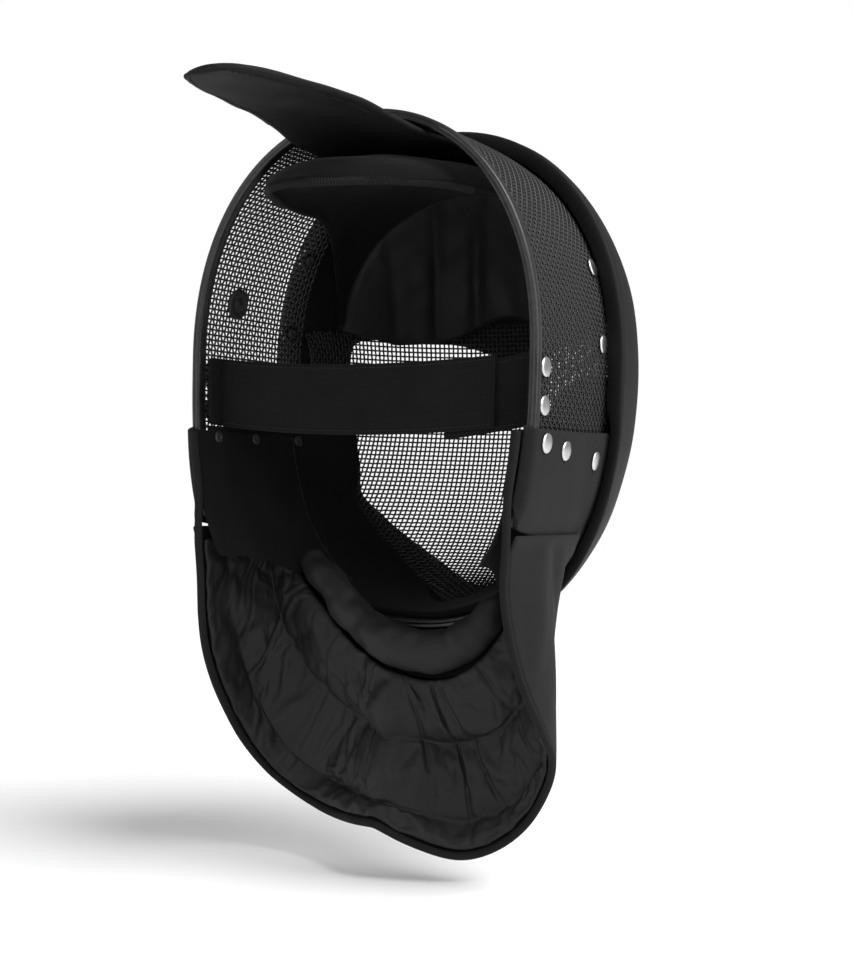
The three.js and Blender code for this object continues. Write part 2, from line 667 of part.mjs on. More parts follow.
// Free edge of the bib from the band's back corner to the middle of the bottom. It hangs lower by the sag
// on the wearer's right, and higher by as much on the left.
const FREE_EDGE = [
  { along: 0, drop: 0, width: 0.948, sweep: -0.138, sag: 0 },
  { along: 0.075, drop: 0.13, width: 0.935, sweep: -0.12, sag: 0 },
  { along: 0.15, drop: 0.262, width: 0.95, sweep: -0.06, sag: 0 },
  { along: 0.225, drop: 0.377, width: 0.968, sweep: 0.045, sag: 0 },
  { along: 0.3, drop: 0.49, width: 0.985, sweep: 0.22, sag: 0 },
  { along: 0.38, drop: 0.605, width: 1, sweep: 0.464, sag: 0 },
  { along: 0.465, drop: 0.714, width: 0.978, sweep: 0.715, sag: -0.018 },
  { along: 0.56, drop: 0.832, width: 0.882, sweep: 0.93, sag: -0.018 },
  { along: 0.65, drop: 0.931, width: 0.74, sweep: 1, sag: 0.014 },
  { along: 0.74, drop: 0.996, width: 0.567, sweep: 0.96, sag: 0.038 },
  { along: 0.83, drop: 1.019, width: 0.388, sweep: 0.82, sag: 0.046 },
  { along: 0.92, drop: 0.994, width: 0.177, sweep: 0.6, sag: 0.025 },
  { along: 1, drop: 0.96, width: 0, sweep: 0.46, sag: 0 },
];
// Middle of the apron between the free edge and the throat, in the same shares.
const APRON_MIDDLE = [
  { along: 0, drop: 0, width: 0.94, sweep: 0.66, sag: 0 },
  { along: 0.2, drop: 0.215, width: 0.935, sweep: 0.78, sag: 0.05 },
  { along: 0.4, drop: 0.47, width: 0.855, sweep: 0.95, sag: 0.07 },
  { along: 0.6, drop: 0.655, width: 0.63, sweep: 1.09, sag: 0.045 },
  { along: 0.8, drop: 0.745, width: 0.335, sweep: 1.08, sag: 0.035 },
  { along: 1, drop: 0.765, width: 0, sweep: 0.71, sag: 0 },
];
// Throat line, where the lining meets the chin roll.
const THROAT_LINE = [
  { along: 0, drop: 0, width: 0.79, sweep: 1.06, sag: 0 },
  { along: 0.25, drop: 0.19, width: 0.63, sweep: 0.88, sag: 0.07 },
  { along: 0.5, drop: 0.31, width: 0.445, sweep: 0.8, sag: 0.09 },
  { along: 0.75, drop: 0.39, width: 0.25, sweep: 0.745, sag: 0.055 },
  { along: 1, drop: 0.42, width: 0, sweep: 0.675, sag: 0 },
];
const SEAM_DROP = JAW_DROP + TRIM_BEHIND + SEAM_BELOW_BAND;

// A guide line's point at p, from the left seam (1) to the right seam (-1), laid on the wearer's left.
function bibPoint(table, p) {
  const along = 1 - Math.abs(p);
  const fall = column(table, 'drop', along) - Math.sign(p) * column(table, 'sag', along);
  return new THREE.Vector3(
    column(table, 'width', along) * BIB_HALF_WIDTH,
    -column(table, 'sweep', along) * BIB_SWEEP,
    -SEAM_DROP - fall * (BIB_DROP - SEAM_DROP),
  );
}

// Top line of the outer apron: just behind the band's lower edge, from the seam's front end round the chin.
function bandLine(along) {
  const drop = lerp(JAW_DROP + 0.8 * EDGE_TURN, CHIN_DROP, Math.sin((Math.PI / 2) * along) ** 0.9);
  const forward = edgeForward(drop) - bandOverhang(drop) - BAND_TUCK;
  const angle = along > 0.999 ? -Math.PI / 2 : angleAtHeight(-drop, forward);
  const p = shellPoint(angle, forward, bandOuter);
  return p.setZ(p.z - SHELL_WALL / 2);
}

// A point of the apron: p from the left seam (1) to the right seam (-1), q from the free edge (0) up.
function apronPoint(p, q, outside) {
  const along = 1 - Math.abs(p);
  const edge = bibPoint(FREE_EDGE, p);
  const middle = bibPoint(APRON_MIDDLE, p);
  const top = bibPoint(THROAT_LINE, p);
  const point = edge.multiplyScalar((1 - q) * (1 - 2 * q))
    .addScaledVector(middle, 4 * q * (1 - q))
    .addScaledVector(top, q * (2 * q - 1));
  if (outside && q > 0.5) point.addScaledVector(bandLine(along).sub(top), (2 * q - 1) ** 1.3);
  if (p < 0) point.x *= -1;
  return point;
}

function apronNormal(p, q, outside) {
  const step = 0.02;
  const at = (a, b) => apronPoint(Math.min(1, Math.max(-1, a)), clamp01(b), outside);
  const dp = at(p + step, q).sub(at(p - step, q));
  const dq = at(p, q + step).sub(at(p, q - step));
  return dp.cross(dq).normalize();
}

// The apron's normal points away from the throat.
const outwardSign = Math.sign(apronNormal(0.5, 0.5, false).dot(new THREE.Vector3(1, -1, 0)));

// Quilting rows from the free edge inward: the puff of the lining at seams and at the crests between them.
const QUILT_ROWS = [
  { inset: 0, puff: 0.3 },
  { inset: 0.09, puff: 0.75 },
  { inset: 0.18, puff: 0.3 },
  { inset: 0.42, puff: 1 },
  { inset: 0.66, puff: 0.3 },
  { inset: 0.83, puff: 1 },
  { inset: 1, puff: 0.5 },
];
const EDGE_INSET = 0.04;
const THROAT_INSET = 0.92;

function bibLining() {
  return wall(APRON_COLUMNS, QUILT_ROWS.length - 1, (i, j, side) => {
    const p = 1 - (2 * i) / APRON_COLUMNS;
    const { inset, puff } = QUILT_ROWS[j];
    const q = lerp(EDGE_INSET, THROAT_INSET, inset);
    const point = apronPoint(p, q, false);
    const n = apronNormal(p, q, false);
    const puffed = lerp(QUILT_SEAM, QUILT_THICKNESS, (puff - 0.3) / 0.7);
    return point.addScaledVector(n, outwardSign * (side === 0 ? -GAP : -GAP - puffed));
  });
}

function bibOuter() {
  const rows = [...QUILT_ROWS.map(({ inset }) => lerp(EDGE_INSET, THROAT_INSET, inset)), 1];
  return wall(APRON_COLUMNS, rows.length - 1, (i, j, side) => {
    const p = 1 - (2 * i) / APRON_COLUMNS;
    const q = rows[j];
    const point = apronPoint(p, q, true);
    const n = apronNormal(p, q, true);
    const clear = q < 1 ? GAP * (1 + 3.2 * smooth(2 * q - 1)) : GAP;
    return point.addScaledVector(n, outwardSign * (side === 0 ? BIB_CLOTH + clear : clear));
  });
}

// Piping: an upright run behind the band's hem on each side, and the free edge between them.
function bibPiping() {
  const upright = [
    -BAND_TOP_DROP - PIPING_RADIUS,
    -(BAND_TOP_DROP + SEAM_DROP) / 2,
    -SEAM_DROP + 5 * PIPING_RADIUS,
  ];
  const edgeX = BIB_HALF_WIDTH * FREE_EDGE[0].width;
  const hemOffset = bandOuter - BAND_HEM - 0.85 * PIPING_RADIUS;
  const run = (side) => upright.map((z) => new THREE.Vector3(
    side * Math.max(shellPoint(angleAtHeight(z, 0, 1, hemOffset), 0, hemOffset).x, edgeX),
    BAND_OVERHANG + PIPING_RADIUS + GAP,
    z,
  ));
  const line = run(1);
  const stations = 2 * (APRON_COLUMNS - 2);
  for (let i = 0; i <= stations; i += 1) {
    const p = 1 - (2 * i) / stations;
    const edge = apronPoint(p, 0, false);
    const away = edge.clone().sub(apronPoint(p, 0.1, false)).normalize();
    line.push(edge.addScaledVector(away, 0.5 * PIPING_RADIUS));
  }
  const path = new THREE.CatmullRomCurve3([...line, ...run(-1).reverse()], false, 'centripetal');
  const round = new THREE.Shape();
  round.absarc(0, 0, PIPING_RADIUS, 0, 2 * Math.PI);
  return new THREE.ExtrudeGeometry(round, {
    steps: PIPING_STEPS,
    extrudePath: path,
    bevelEnabled: false,
    curveSegments: 3,
  });
}

// Chin roll: a fat padded roll along the throat line, thickest in the middle.
const rollRadius = (p) => ROLL_RADIUS * lerp(1, ROLL_TAPER, p * p);

function chinRoll() {
  const stations = 18;
  const around = 8;
  const centre = (p) => {
    const along = 1 - Math.abs(p);
    const base = bibPoint(THROAT_LINE, p);
    const lift = new THREE.Vector3(-Math.sign(p) * 0.6 * (1 - along), 0.25, 0.95).normalize();
    base.x *= Math.sign(p) || 1;
    return base.addScaledVector(lift, rollRadius(p) + ROLL_STANDOFF);
  };
  const sections = Array.from({ length: stations + 1 }, (_, i) => {
    const p = lerp(ROLL_END, -ROLL_END, i / stations);
    const c = centre(p);
    const t = centre(p - 0.02).sub(centre(p + 0.02)).normalize();
    const a = new THREE.Vector3(0, 0.3, 1).cross(t).normalize();
    const b = t.clone().cross(a).normalize();
    const r = rollRadius(p) * (i === 0 || i === stations ? 0.5 : 1);
    return Array.from({ length: around }, (_unused, k) => {
      const turn = (2 * Math.PI * k) / around;
      return c.clone().addScaledVector(a, r * Math.cos(turn)).addScaledVector(b, r * Math.sin(turn));
    });
  });
  return loft(sections);
}

// End tab of a strap: a folded pad against the inside of the shell, behind the rivets.
function strapTab(side) {
  const rows = 3;
  const bottom = STRAP_HEIGHT - STRAP_WIDTH / 2;
  return wall(rows, 1, (i, j, layer) => {
    const height = bottom + (STRAP_WIDTH * i) / rows;
    const forward = j === 0 ? TRIM_LAP + GAP : tabFront;
    const offset = layer === 0 ? liningOuter : -strapOffset - STRAP_THICKNESS;
    return shellPoint(angleAtHeight(height, forward, side), forward, offset);
  });
}

// Straps: flat bands that leave the inside of the shell and cross the back opening.
function strapBand(from, to, offset, tilt, holePrefix) {
  const steps = 14;
  const reach = SHELL_HALF_WIDTH - strapOffset - STRAP_THICKNESS;
  const band = wall(steps, 1, (i, j, side) => {
    const x = lerp(from, to, i / steps);
    const across = clamp01(1 - (x / reach) ** 2);
    const forward = STRAP_FORWARD - STRAP_BOW * across + offset;
    const fall = tilt * clamp01((reach - Math.abs(x)) / (reach - STRAP_TAIL_END));
    const middle = STRAP_HEIGHT - STRAP_SAG * across - fall;
    const slope = (2 * STRAP_BOW * x) / (reach * reach);
    const n = new THREE.Vector3(-slope, 1, 0).normalize();
    const z = middle + (j - 0.5) * STRAP_WIDTH;
    const layer = (side === 0 ? 0.5 : -0.5) * STRAP_THICKNESS;
    return new THREE.Vector3(x, -forward, z).addScaledVector(n, layer);
  });
  const tab = strapTab(Math.sign(from));
  const joined = toManifold(band).add(toManifold(tab));
  return cut(toGeometry(joined), holes([holePrefix]));
}

function sideDisc() {
  const angle = angleAtHeight(DISC_HEIGHT, DISC_FORWARD);
  const disc = new THREE.CylinderGeometry(DISC_RADIUS, DISC_RADIUS, DISC_THICKNESS, 16);
  const place = new THREE.Object3D();
  const n = shellNormal(angle, DISC_FORWARD);
  const depth = shellOuter + DISC_CLEARANCE + DISC_THICKNESS / 2;
  place.position.copy(shellPoint(angle, DISC_FORWARD)).addScaledVector(n, -depth);
  place.quaternion.setFromUnitVectors(new THREE.Vector3(0, 1, 0), n);
  place.updateMatrix();
  disc.applyMatrix4(place.matrix);
  return disc;
}

const mask = new THREE.Group();
mask.position.set(0, SEAT_FORWARD, -seatHeight);

function add(name, geometry, finish) {
  const [color, roughness, metalness] = FINISHES[finish];
  const mesh = new THREE.Mesh(geometry, new THREE.MeshStandardMaterial({ color, roughness, metalness }));
  mesh.name = name;
  mask.add(mesh);
}

const strapReach = SHELL_HALF_WIDTH - strapOffset - 0.5 * STRAP_THICKNESS;
add('mesh_shell', meshShell(), 'wire');
add('rim_trim', rimTrim(), 'trim');
add('outer_cover', outerCover(), 'cover');
add('tongue', tongue(), 'cover');
add('crown_pad', crownPad(), 'pad');
add('forehead_pad', foreheadPad(), 'satin');
add('cheek_lining', cheekLining(), 'pad');
add('bib_band', bibBand(), 'cloth');
add('bib_outer', bibOuter(), 'cloth');
add('bib_lining', bibLining(), 'satin');
add('chin_roll', chinRoll(), 'satin');
add('bib_piping', bibPiping(), 'cloth');
const strapLayer = STRAP_THICKNESS + GAP;
add('strap_main', strapBand(strapReach, -STRAP_FREE_END, 0, 0, 'strap_rivet_left'), 'elastic');
const tail = strapBand(-strapReach, -STRAP_TAIL_END, strapLayer, STRAP_TAIL_TILT, 'strap_rivet_right');
add('strap_end', tail, 'elastic');
add('side_disc', sideDisc(), 'plastic');
for (const [name, { body }] of Object.entries(rivets)) add(name, toGeometry(toManifold(body)), 'rivet');

export default mask;
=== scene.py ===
"""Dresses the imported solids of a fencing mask: woven wire, rim, pads, quilted bib, straps and rivets."""

import logging
import math
from dataclasses import dataclass
from enum import Enum

import bmesh
import bpy
import numpy as np
from mathutils import Matrix, Vector


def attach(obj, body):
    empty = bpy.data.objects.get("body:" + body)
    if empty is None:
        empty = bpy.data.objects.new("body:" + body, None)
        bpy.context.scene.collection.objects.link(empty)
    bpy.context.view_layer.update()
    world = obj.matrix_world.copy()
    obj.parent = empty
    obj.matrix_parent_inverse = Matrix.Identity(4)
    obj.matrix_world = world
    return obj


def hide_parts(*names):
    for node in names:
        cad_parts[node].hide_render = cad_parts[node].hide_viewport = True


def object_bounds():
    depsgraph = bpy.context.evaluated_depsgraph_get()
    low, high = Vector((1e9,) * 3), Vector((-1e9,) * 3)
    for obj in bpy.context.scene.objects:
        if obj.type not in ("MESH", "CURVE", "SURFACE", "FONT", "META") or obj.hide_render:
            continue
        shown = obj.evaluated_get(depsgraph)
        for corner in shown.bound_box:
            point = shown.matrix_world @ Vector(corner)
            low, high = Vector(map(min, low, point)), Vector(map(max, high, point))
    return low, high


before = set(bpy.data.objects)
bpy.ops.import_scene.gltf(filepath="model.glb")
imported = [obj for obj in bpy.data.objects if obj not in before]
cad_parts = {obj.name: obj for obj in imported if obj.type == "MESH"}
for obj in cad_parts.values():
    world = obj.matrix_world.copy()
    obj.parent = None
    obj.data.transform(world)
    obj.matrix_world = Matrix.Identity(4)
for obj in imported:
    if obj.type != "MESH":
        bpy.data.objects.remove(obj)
CAD_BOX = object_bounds()
LOG = logging.getLogger("mask")
MM = 0.001
BODY = "root"
Array = np.ndarray
Table = tuple[tuple[float, ...], ...]

# Where the rim plane and the springing line of the arch lie in the part's frame.
SEAT_FORWARD = 50 * MM
SEAT_HEIGHT = 106 * MM


def to_part(x: Array, forward: Array, height: Array) -> Array:
    """Turns distances from the rim plane and the springing line into points of the part's frame.

    Args:
        x: Distance towards the wearer's left.
        forward: Distance forward of the rim plane.
        height: Height over the springing line of the arch.

    Returns:
        An array whose last axis holds the three coordinates.
    """
    x, forward, height = np.broadcast_arrays(x, forward, height)
    return np.stack([x, SEAT_FORWARD - forward, height - SEAT_HEIGHT], axis=-1)


def smooth_step(value: Array) -> Array:
    """Rises smoothly from 0 to 1 as the value does."""
    t = np.clip(value, 0, 1)
    return t * t * (3 - 2 * t)


def blend(low: Array, high: Array, share: Array) -> Array:
    """Goes from low to high in a straight line."""
    return low + (high - low) * share


def read_table(rows: Table, column: int, share: Array) -> Array:
    """Reads a column of a table along a smooth curve through its rows.

    Args:
        rows: Rows whose first entry is the share that they stand at.
        column: Which entry to read.
        share: Where to read it.

    Returns:
        The values there.
    """
    knots = np.array([row[0] for row in rows])
    values = np.array([row[column] for row in rows])
    slopes = np.gradient(values, knots)
    share = np.clip(share, knots[0], knots[-1])
    i = np.clip(np.searchsorted(knots, share, side="right") - 1, 0, len(knots) - 2)
    span = knots[i + 1] - knots[i]
    t = (share - knots[i]) / span
    rise = values[i + 1] - values[i]
    m0 = slopes[i] * span
    m1 = slopes[i + 1] * span
    return values[i] + t * m0 + t * t * (3 * rise - 2 * m0 - m1) + t ** 3 * (m0 + m1 - 2 * rise)


def unit(vectors: Array) -> Array:
    """Scales vectors on the last axis to length one."""
    return vectors / np.maximum(np.linalg.norm(vectors, axis=-1, keepdims=True), 1e-12)


def along_line(points: Array) -> Array:
    """Gives the distance of each point along a polyline."""
    steps = np.linalg.norm(np.diff(points, axis=0), axis=-1)
    return np.concatenate([[0.0], np.cumsum(steps)])


def ripple(points: Array, size: float, seed: int) -> Array:
    """Gives a soft three-way ripple between -1 and 1, the same each run.

    Args:
        points: Places in metres, on the last axis.
        size: Rough length of a wave in metres.
        seed: Picks the waves.

    Returns:
        One value for each place.
    """
    rng = np.random.default_rng(seed)
    total = np.zeros(points.shape[:-1])
    waves = 9
    for _ in range(waves):
        direction = unit(rng.normal(size=3))
        rate = 2 * math.pi / (size * rng.uniform(0.6, 1.6))
        total += np.sin(points @ direction * rate + rng.uniform(0, 2 * math.pi))
    return total / math.sqrt(waves)


@dataclass(frozen=True)
class ShellForm:
    """The bowl of the mask: the form that the wire, the pads and the cloth follow."""

    half_width: float = 107.4 * MM
    crown_rise: float = 129.5 * MM
    chin_drop: float = 151 * MM
    depth: float = 196 * MM
    wall: float = 2 * MM
    jaw_drop: float = 96 * MM
    jaw_forward: float = 80 * MM
    chin_setback: float = 62 * MM
    edge_turn: float = 6 * MM
    arch_power: float = 2.15
    jaw_power: float = 2.8
    chin_power: float = 2.0
    girth_power: float = 2.05
    depth_power: float = 3.9

    def points(self, angle: Array, forward: Array, offset: Array = 0.0) -> Array:
        """Places points of the form.

        Args:
            angle: Angle round the section from the wearer's left.
            forward: Depth forward of the rim plane.
            offset: Distance outward of the middle of the wall.

        Returns:
            Points of the part's frame.
        """
        share = np.clip(forward / (self.depth + offset), 0, 1)
        c, s = np.cos(angle), np.sin(angle)
        power = np.where(s >= 0, self.arch_power, blend(self.jaw_power, self.chin_power, share))
        ring = (np.abs(c) ** power + np.abs(s) ** power) ** (-1 / power)
        narrowing = (1 - share ** self.depth_power) ** (1 / self.girth_power)
        rise = np.where(s >= 0, self.crown_rise, self.chin_drop) + offset
        x = (self.half_width + offset) * ring * c * narrowing
        return to_part(x, forward, rise * ring * s * narrowing)

    def normals(self, angle: Array, forward: Array) -> Array:
        """Gives the outward direction of the wall at places of the form."""
        step, ahead = 0.01, 1 * MM
        around = self.points(angle + step, forward) - self.points(angle - step, forward)
        along = self.points(angle, forward + ahead) - self.points(angle, np.maximum(0, forward - ahead))
        n = unit(np.cross(around, along))
        out = self.points(angle, forward) - to_part(0.0, forward, 0.0)
        return n * np.where(np.sum(n * out, axis=-1, keepdims=True) < 0, -1.0, 1.0)

    def angle_at(self, height: Array, forward: Array, offset: Array = 0.0) -> Array:
        """Finds the angle on the wearer's left at which the section reaches a height.

        Args:
            height: Height over the springing line.
            forward: Depth of the section.
            offset: Distance outward of the wall.

        Returns:
            The angles.
        """
        height, forward = np.broadcast_arrays(np.asarray(height, float), np.asarray(forward, float))
        low = np.full(height.shape, -math.pi / 2)
        high = np.full(height.shape, math.pi / 2)
        for _ in range(40):
            middle = (low + high) / 2
            under = self.points(middle, forward, offset)[..., 2] + SEAT_HEIGHT < height
            low = np.where(under, middle, low)
            high = np.where(under, high, middle)
        return (low + high) / 2

    def depth_at(self, x: Array, height: Array, offset: float = 0.0) -> Array:
        """Finds how far forward the front of the form lies at a place seen from the front."""
        rise = np.where(height >= 0, self.crown_rise, self.chin_drop) + offset
        share = np.full(np.shape(x), 0.8)
        for _ in range(14):
            power = np.where(height >= 0, self.arch_power, blend(self.jaw_power, self.chin_power, share))
            near = (np.abs(x) / (self.half_width + offset)) ** power + (np.abs(height) / rise) ** power
            narrowing = np.clip(near ** (1 / power), 0, 1)
            share = (1 - narrowing ** self.girth_power) ** (1 / self.depth_power)
        return share * (self.depth + offset)

    def edge_forward(self, drop: Array) -> Array:
        """Gives the depth of the shell's edge by its drop: upright sides, a turn under the jaw, the chin."""
        turn = smooth_step((drop - self.jaw_drop + self.edge_turn) / (1.6 * self.edge_turn))
        chin = smooth_step((drop - self.jaw_drop) / (self.chin_drop - self.jaw_drop))
        return turn * blend(self.jaw_forward, self.chin_setback, chin)

    def edge_side(self, top_drop: float, count: int) -> tuple[Array, Array]:
        """Follows the shell's edge on the wearer's left from a drop down to the chin.

        Args:
            top_drop: Where to start, below the springing line.
            count: How many places to give, spaced evenly along the edge.

        Returns:
            Angles and depths.
        """
        drops = blend(top_drop, self.chin_drop * 0.99999, np.linspace(0, 1, 900))
        forward = self.edge_forward(drops)
        angle = self.angle_at(-drops, forward)
        length = along_line(self.points(angle, forward))
        wanted = np.linspace(0, length[-1], count)
        return np.interp(wanted, length, angle), np.interp(wanted, length, forward)

    def edge_under(self, top_drop: float, count: int) -> tuple[Array, Array]:
        """Follows the edge from the wearer's right, round the chin, to the left.

        Args:
            top_drop: Where both ends lie, below the springing line.
            count: How many places to give on each side.

        Returns:
            Angles and depths.
        """
        angle, forward = self.edge_side(top_drop, count)
        left = angle[::-1][1:]
        return np.concatenate([-math.pi - angle, left]), np.concatenate([forward, forward[::-1][1:]])

    def edge_loop(self, count: int) -> tuple[Array, Array]:
        """Follows the whole edge, from the chin up the wearer's left, over the arch and down the right."""
        angle, forward = self.edge_side(0.0, 500)
        arch = np.linspace(0, math.pi, 700)
        angles = np.concatenate([angle[::-1], arch[1:-1], math.pi - angle])
        forwards = np.concatenate([forward[::-1], np.zeros(len(arch) - 2), forward])
        length = along_line(self.points(angles, forwards))
        wanted = np.linspace(0, length[-1], count + 1)
        return np.interp(wanted, length, angles), np.interp(wanted, length, forwards)


@dataclass(frozen=True)
class WindowForm:
    """The face window of the padded cover, as it is seen from the front."""

    half_width: float = 103 * MM
    drop: float = 142 * MM
    corner_rounds: int = 3
    outline: Table = (
        (0.8, -0.19),
        (0.96, -0.185),
        (1.0, -0.12),
        (1.0, 0.1),
        (0.965, 0.285),
        (0.915, 0.445),
        (0.885, 0.56),
        (0.82, 0.62),
        (0.63, 0.757),
        (0.31, 0.9),
        (0.0, 1.0),
    )

    def ring(self) -> Array:
        """Gives the outline as a closed ring of corners, cut round."""
        half = [(across * self.half_width, -fall * self.drop) for across, fall in self.outline]
        ring = np.array(half + [(-x, z) for x, z in half[:-1][::-1]])
        for _ in range(self.corner_rounds):
            after = np.roll(ring, -1, axis=0)
            ring = np.stack([0.75 * ring + 0.25 * after, 0.25 * ring + 0.75 * after], axis=1).reshape(-1, 2)
        return ring

    def reach(self, x: Array, height: Array) -> Array:
        """Gives how far a place lies from the window's middle, as a share of the way to its outline."""
        ring = self.ring()
        turn = np.arctan2(ring[:, 1], ring[:, 0])
        order = np.argsort(turn)
        radius = np.hypot(ring[:, 0], ring[:, 1])[order]
        edge = np.interp(np.arctan2(height, x), turn[order], radius, period=2 * math.pi)
        return np.hypot(x, height) / edge

    def depth_along(
        self, shell: ShellForm, angle: Array, offset: float, start: float, margin: float = 0.0
    ) -> Array:
        """Finds the depth at which the shell form meets the outline.

        Args:
            shell: The shell form.
            angle: Angles round the section.
            offset: Distance outward of the wall.
            start: Depth that the search starts at.
            margin: How much narrower the outline is taken on either side.

        Returns:
            The depths.
        """
        narrow = self.half_width / (self.half_width - margin)
        angle = np.asarray(angle, float)
        low = np.full(angle.shape, start)
        high = np.full(angle.shape, shell.depth + offset - 1e-6)
        for _ in range(40):
            middle = (low + high) / 2
            p = shell.points(angle, middle, offset)
            inside = self.reach(p[..., 0] * narrow, p[..., 2] + SEAT_HEIGHT) < 1
            high = np.where(inside, middle, high)
            low = np.where(inside, low, middle)
        return low


SHELL = ShellForm()
WINDOW = WindowForm()


@dataclass(frozen=True)
class ApronForm:
    """The hanging part of the bib: free edge, middle and throat line, as shares of its sizes."""

    drop: float = 265 * MM
    half_width: float = 103 * MM
    sweep: float = 61 * MM
    seam_drop: float = 104 * MM
    gap: float = 0.4 * MM
    edge_inset: float = 0.04
    throat_inset: float = 0.92
    band_offset: float = 4.7 * MM
    band_tuck: float = 1.5 * MM
    free_edge: Table = (
        (0.0, 0.0, 0.948, -0.138, 0.0),
        (0.075, 0.13, 0.935, -0.12, 0.0),
        (0.15, 0.262, 0.95, -0.06, 0.0),
        (0.225, 0.377, 0.968, 0.045, 0.0),
        (0.3, 0.49, 0.985, 0.22, 0.0),
        (0.38, 0.605, 1.0, 0.464, 0.0),
        (0.465, 0.714, 0.978, 0.715, -0.018),
        (0.56, 0.832, 0.882, 0.93, -0.018),
        (0.65, 0.931, 0.74, 1.0, 0.014),
        (0.74, 0.996, 0.567, 0.96, 0.038),
        (0.83, 1.019, 0.388, 0.82, 0.046),
        (0.92, 0.994, 0.177, 0.6, 0.025),
        (1.0, 0.96, 0.0, 0.46, 0.0),
    )
    middle: Table = (
        (0.0, 0.0, 0.94, 0.66, 0.0),
        (0.2, 0.215, 0.935, 0.78, 0.05),
        (0.4, 0.47, 0.855, 0.95, 0.07),
        (0.6, 0.655, 0.63, 1.09, 0.045),
        (0.8, 0.745, 0.335, 1.08, 0.035),
        (1.0, 0.765, 0.0, 0.71, 0.0),
    )
    throat: Table = (
        (0.0, 0.0, 0.79, 1.06, 0.0),
        (0.25, 0.19, 0.63, 0.88, 0.07),
        (0.5, 0.31, 0.445, 0.8, 0.09),
        (0.75, 0.39, 0.25, 0.745, 0.055),
        (1.0, 0.42, 0.0, 0.675, 0.0),
    )

    def line(self, rows: Table, p: Array) -> Array:
        """Places points of one guide line, laid on the wearer's left.

        Args:
            rows: Share from seam to middle, drop, width, sweep, and the sag that lowers it on the
                wearer's right.
            p: From the wearer's left seam (1) to the right seam (-1).

        Returns:
            Points of the part's frame.
        """
        along = 1 - np.abs(p)
        fall = read_table(rows, 1, along) - np.sign(p) * read_table(rows, 4, along)
        return to_part(
            read_table(rows, 2, along) * self.half_width,
            read_table(rows, 3, along) * self.sweep,
            -self.seam_drop - fall * (self.drop - self.seam_drop),
        )

    def band_line(self, along: Array, ahead: float = 0.0, lift: float = 0.0) -> Array:
        """Places the outer cloth's top line, just behind the band's lower edge.

        Args:
            along: Share of the way from seam to middle.
            ahead: How far forward of it the points lie.
            lift: How far off the band they lie.

        Returns:
            Points of the part's frame, on the wearer's left.
        """
        low = SHELL.jaw_drop + 0.8 * SHELL.edge_turn
        drop = blend(low, SHELL.chin_drop * 0.9999, np.sin(math.pi / 2 * along) ** 0.9)
        overhang = blend(7 * MM, 3.8 * MM, smooth_step((drop - SHELL.jaw_drop) / SHELL.edge_turn))
        forward = SHELL.edge_forward(drop) - overhang - self.band_tuck
        angle = SHELL.angle_at(-drop, forward)
        points = SHELL.points(angle, forward + ahead, self.band_offset + lift)
        points[..., 0] = np.where(along > 0.999, 0.0, points[..., 0])
        points[..., 2] -= SHELL.wall / 2
        return points

    def points(self, p: Array, q: Array, outside: bool = False) -> Array:
        """Places points of the apron.

        Args:
            p: From the wearer's left seam (1) to the right seam (-1).
            q: From the free edge (0) to the throat (1).
            outside: Whether the surface ends at the band outside instead of at the throat.

        Returns:
            Points of the part's frame.
        """
        along = 1 - np.abs(p)
        edge = self.line(self.free_edge, p)
        middle = self.line(self.middle, p)
        top = self.line(self.throat, p)
        q = np.asarray(q, float)[..., None]
        point = edge * (1 - q) * (1 - 2 * q) + middle * 4 * q * (1 - q) + top * q * (2 * q - 1)
        if outside:
            point = point + (self.band_line(along) - top) * np.clip(2 * q - 1, 0, 1) ** 1.3
        point[..., 0] *= np.where(p < 0, -1.0, 1.0)
        return point

    def normals(self, p: Array, q: Array, outside: bool = False) -> Array:
        """Gives the direction away from the throat at places of the apron."""
        step = 0.02
        left = self.points(np.minimum(1, p + step), q, outside)
        right = self.points(np.maximum(-1, p - step), q, outside)
        throatward = self.points(p, np.minimum(1, q + step), outside)
        edgeward = self.points(p, np.maximum(0, q - step), outside)
        n = unit(np.cross(left - right, throatward - edgeward))
        out = self.points(p, q, outside) - to_part(0.0, 0.0, -170 * MM)
        return n * np.where(np.sum(n * out, axis=-1, keepdims=True) < 0, -1.0, 1.0)


APRON = ApronForm()


class Weave(Enum):
    """How a cloth is woven or finished."""

    TWILL = "twill"
    RIB = "rib"
    SATIN = "satin"
    NAP = "nap"
    COATED = "coated"


class Graph:
    """Builds the nodes of one material."""

    def __init__(self, name: str) -> None:
        """Starts an empty material."""
        self.material = bpy.data.materials.new(name)
        self.material.use_nodes = True
        self.tree = self.material.node_tree
        self.tree.nodes.clear()

    def add(self, kind: str, inputs: dict | None = None, **settings: object) -> bpy.types.Node:
        """Adds a node.

        Args:
            kind: The node's type without its ShaderNode prefix.
            inputs: Values or sockets by input name or index.
            settings: Attributes of the node.

        Returns:
            The node.
        """
        node = self.tree.nodes.new("ShaderNode" + kind)
        for key, value in settings.items():
            setattr(node, key, value)
        for key, value in (inputs or {}).items():
            if isinstance(value, bpy.types.NodeSocket):
                self.tree.links.new(value, node.inputs[key])
            else:
                node.inputs[key].default_value = value
        return node

    def math(self, operation: str, a: object, b: object = 0.0) -> bpy.types.NodeSocket:
        """Adds a sum on two values and gives its output."""
        return self.add("Math", {0: a, 1: b}, operation=operation).outputs[0]

    def finish(self, shader: bpy.types.Node) -> bpy.types.Material:
        """Ends the material at a shader."""
        self.add("OutputMaterial", {"Surface": shader.outputs[0]})
        return self.material


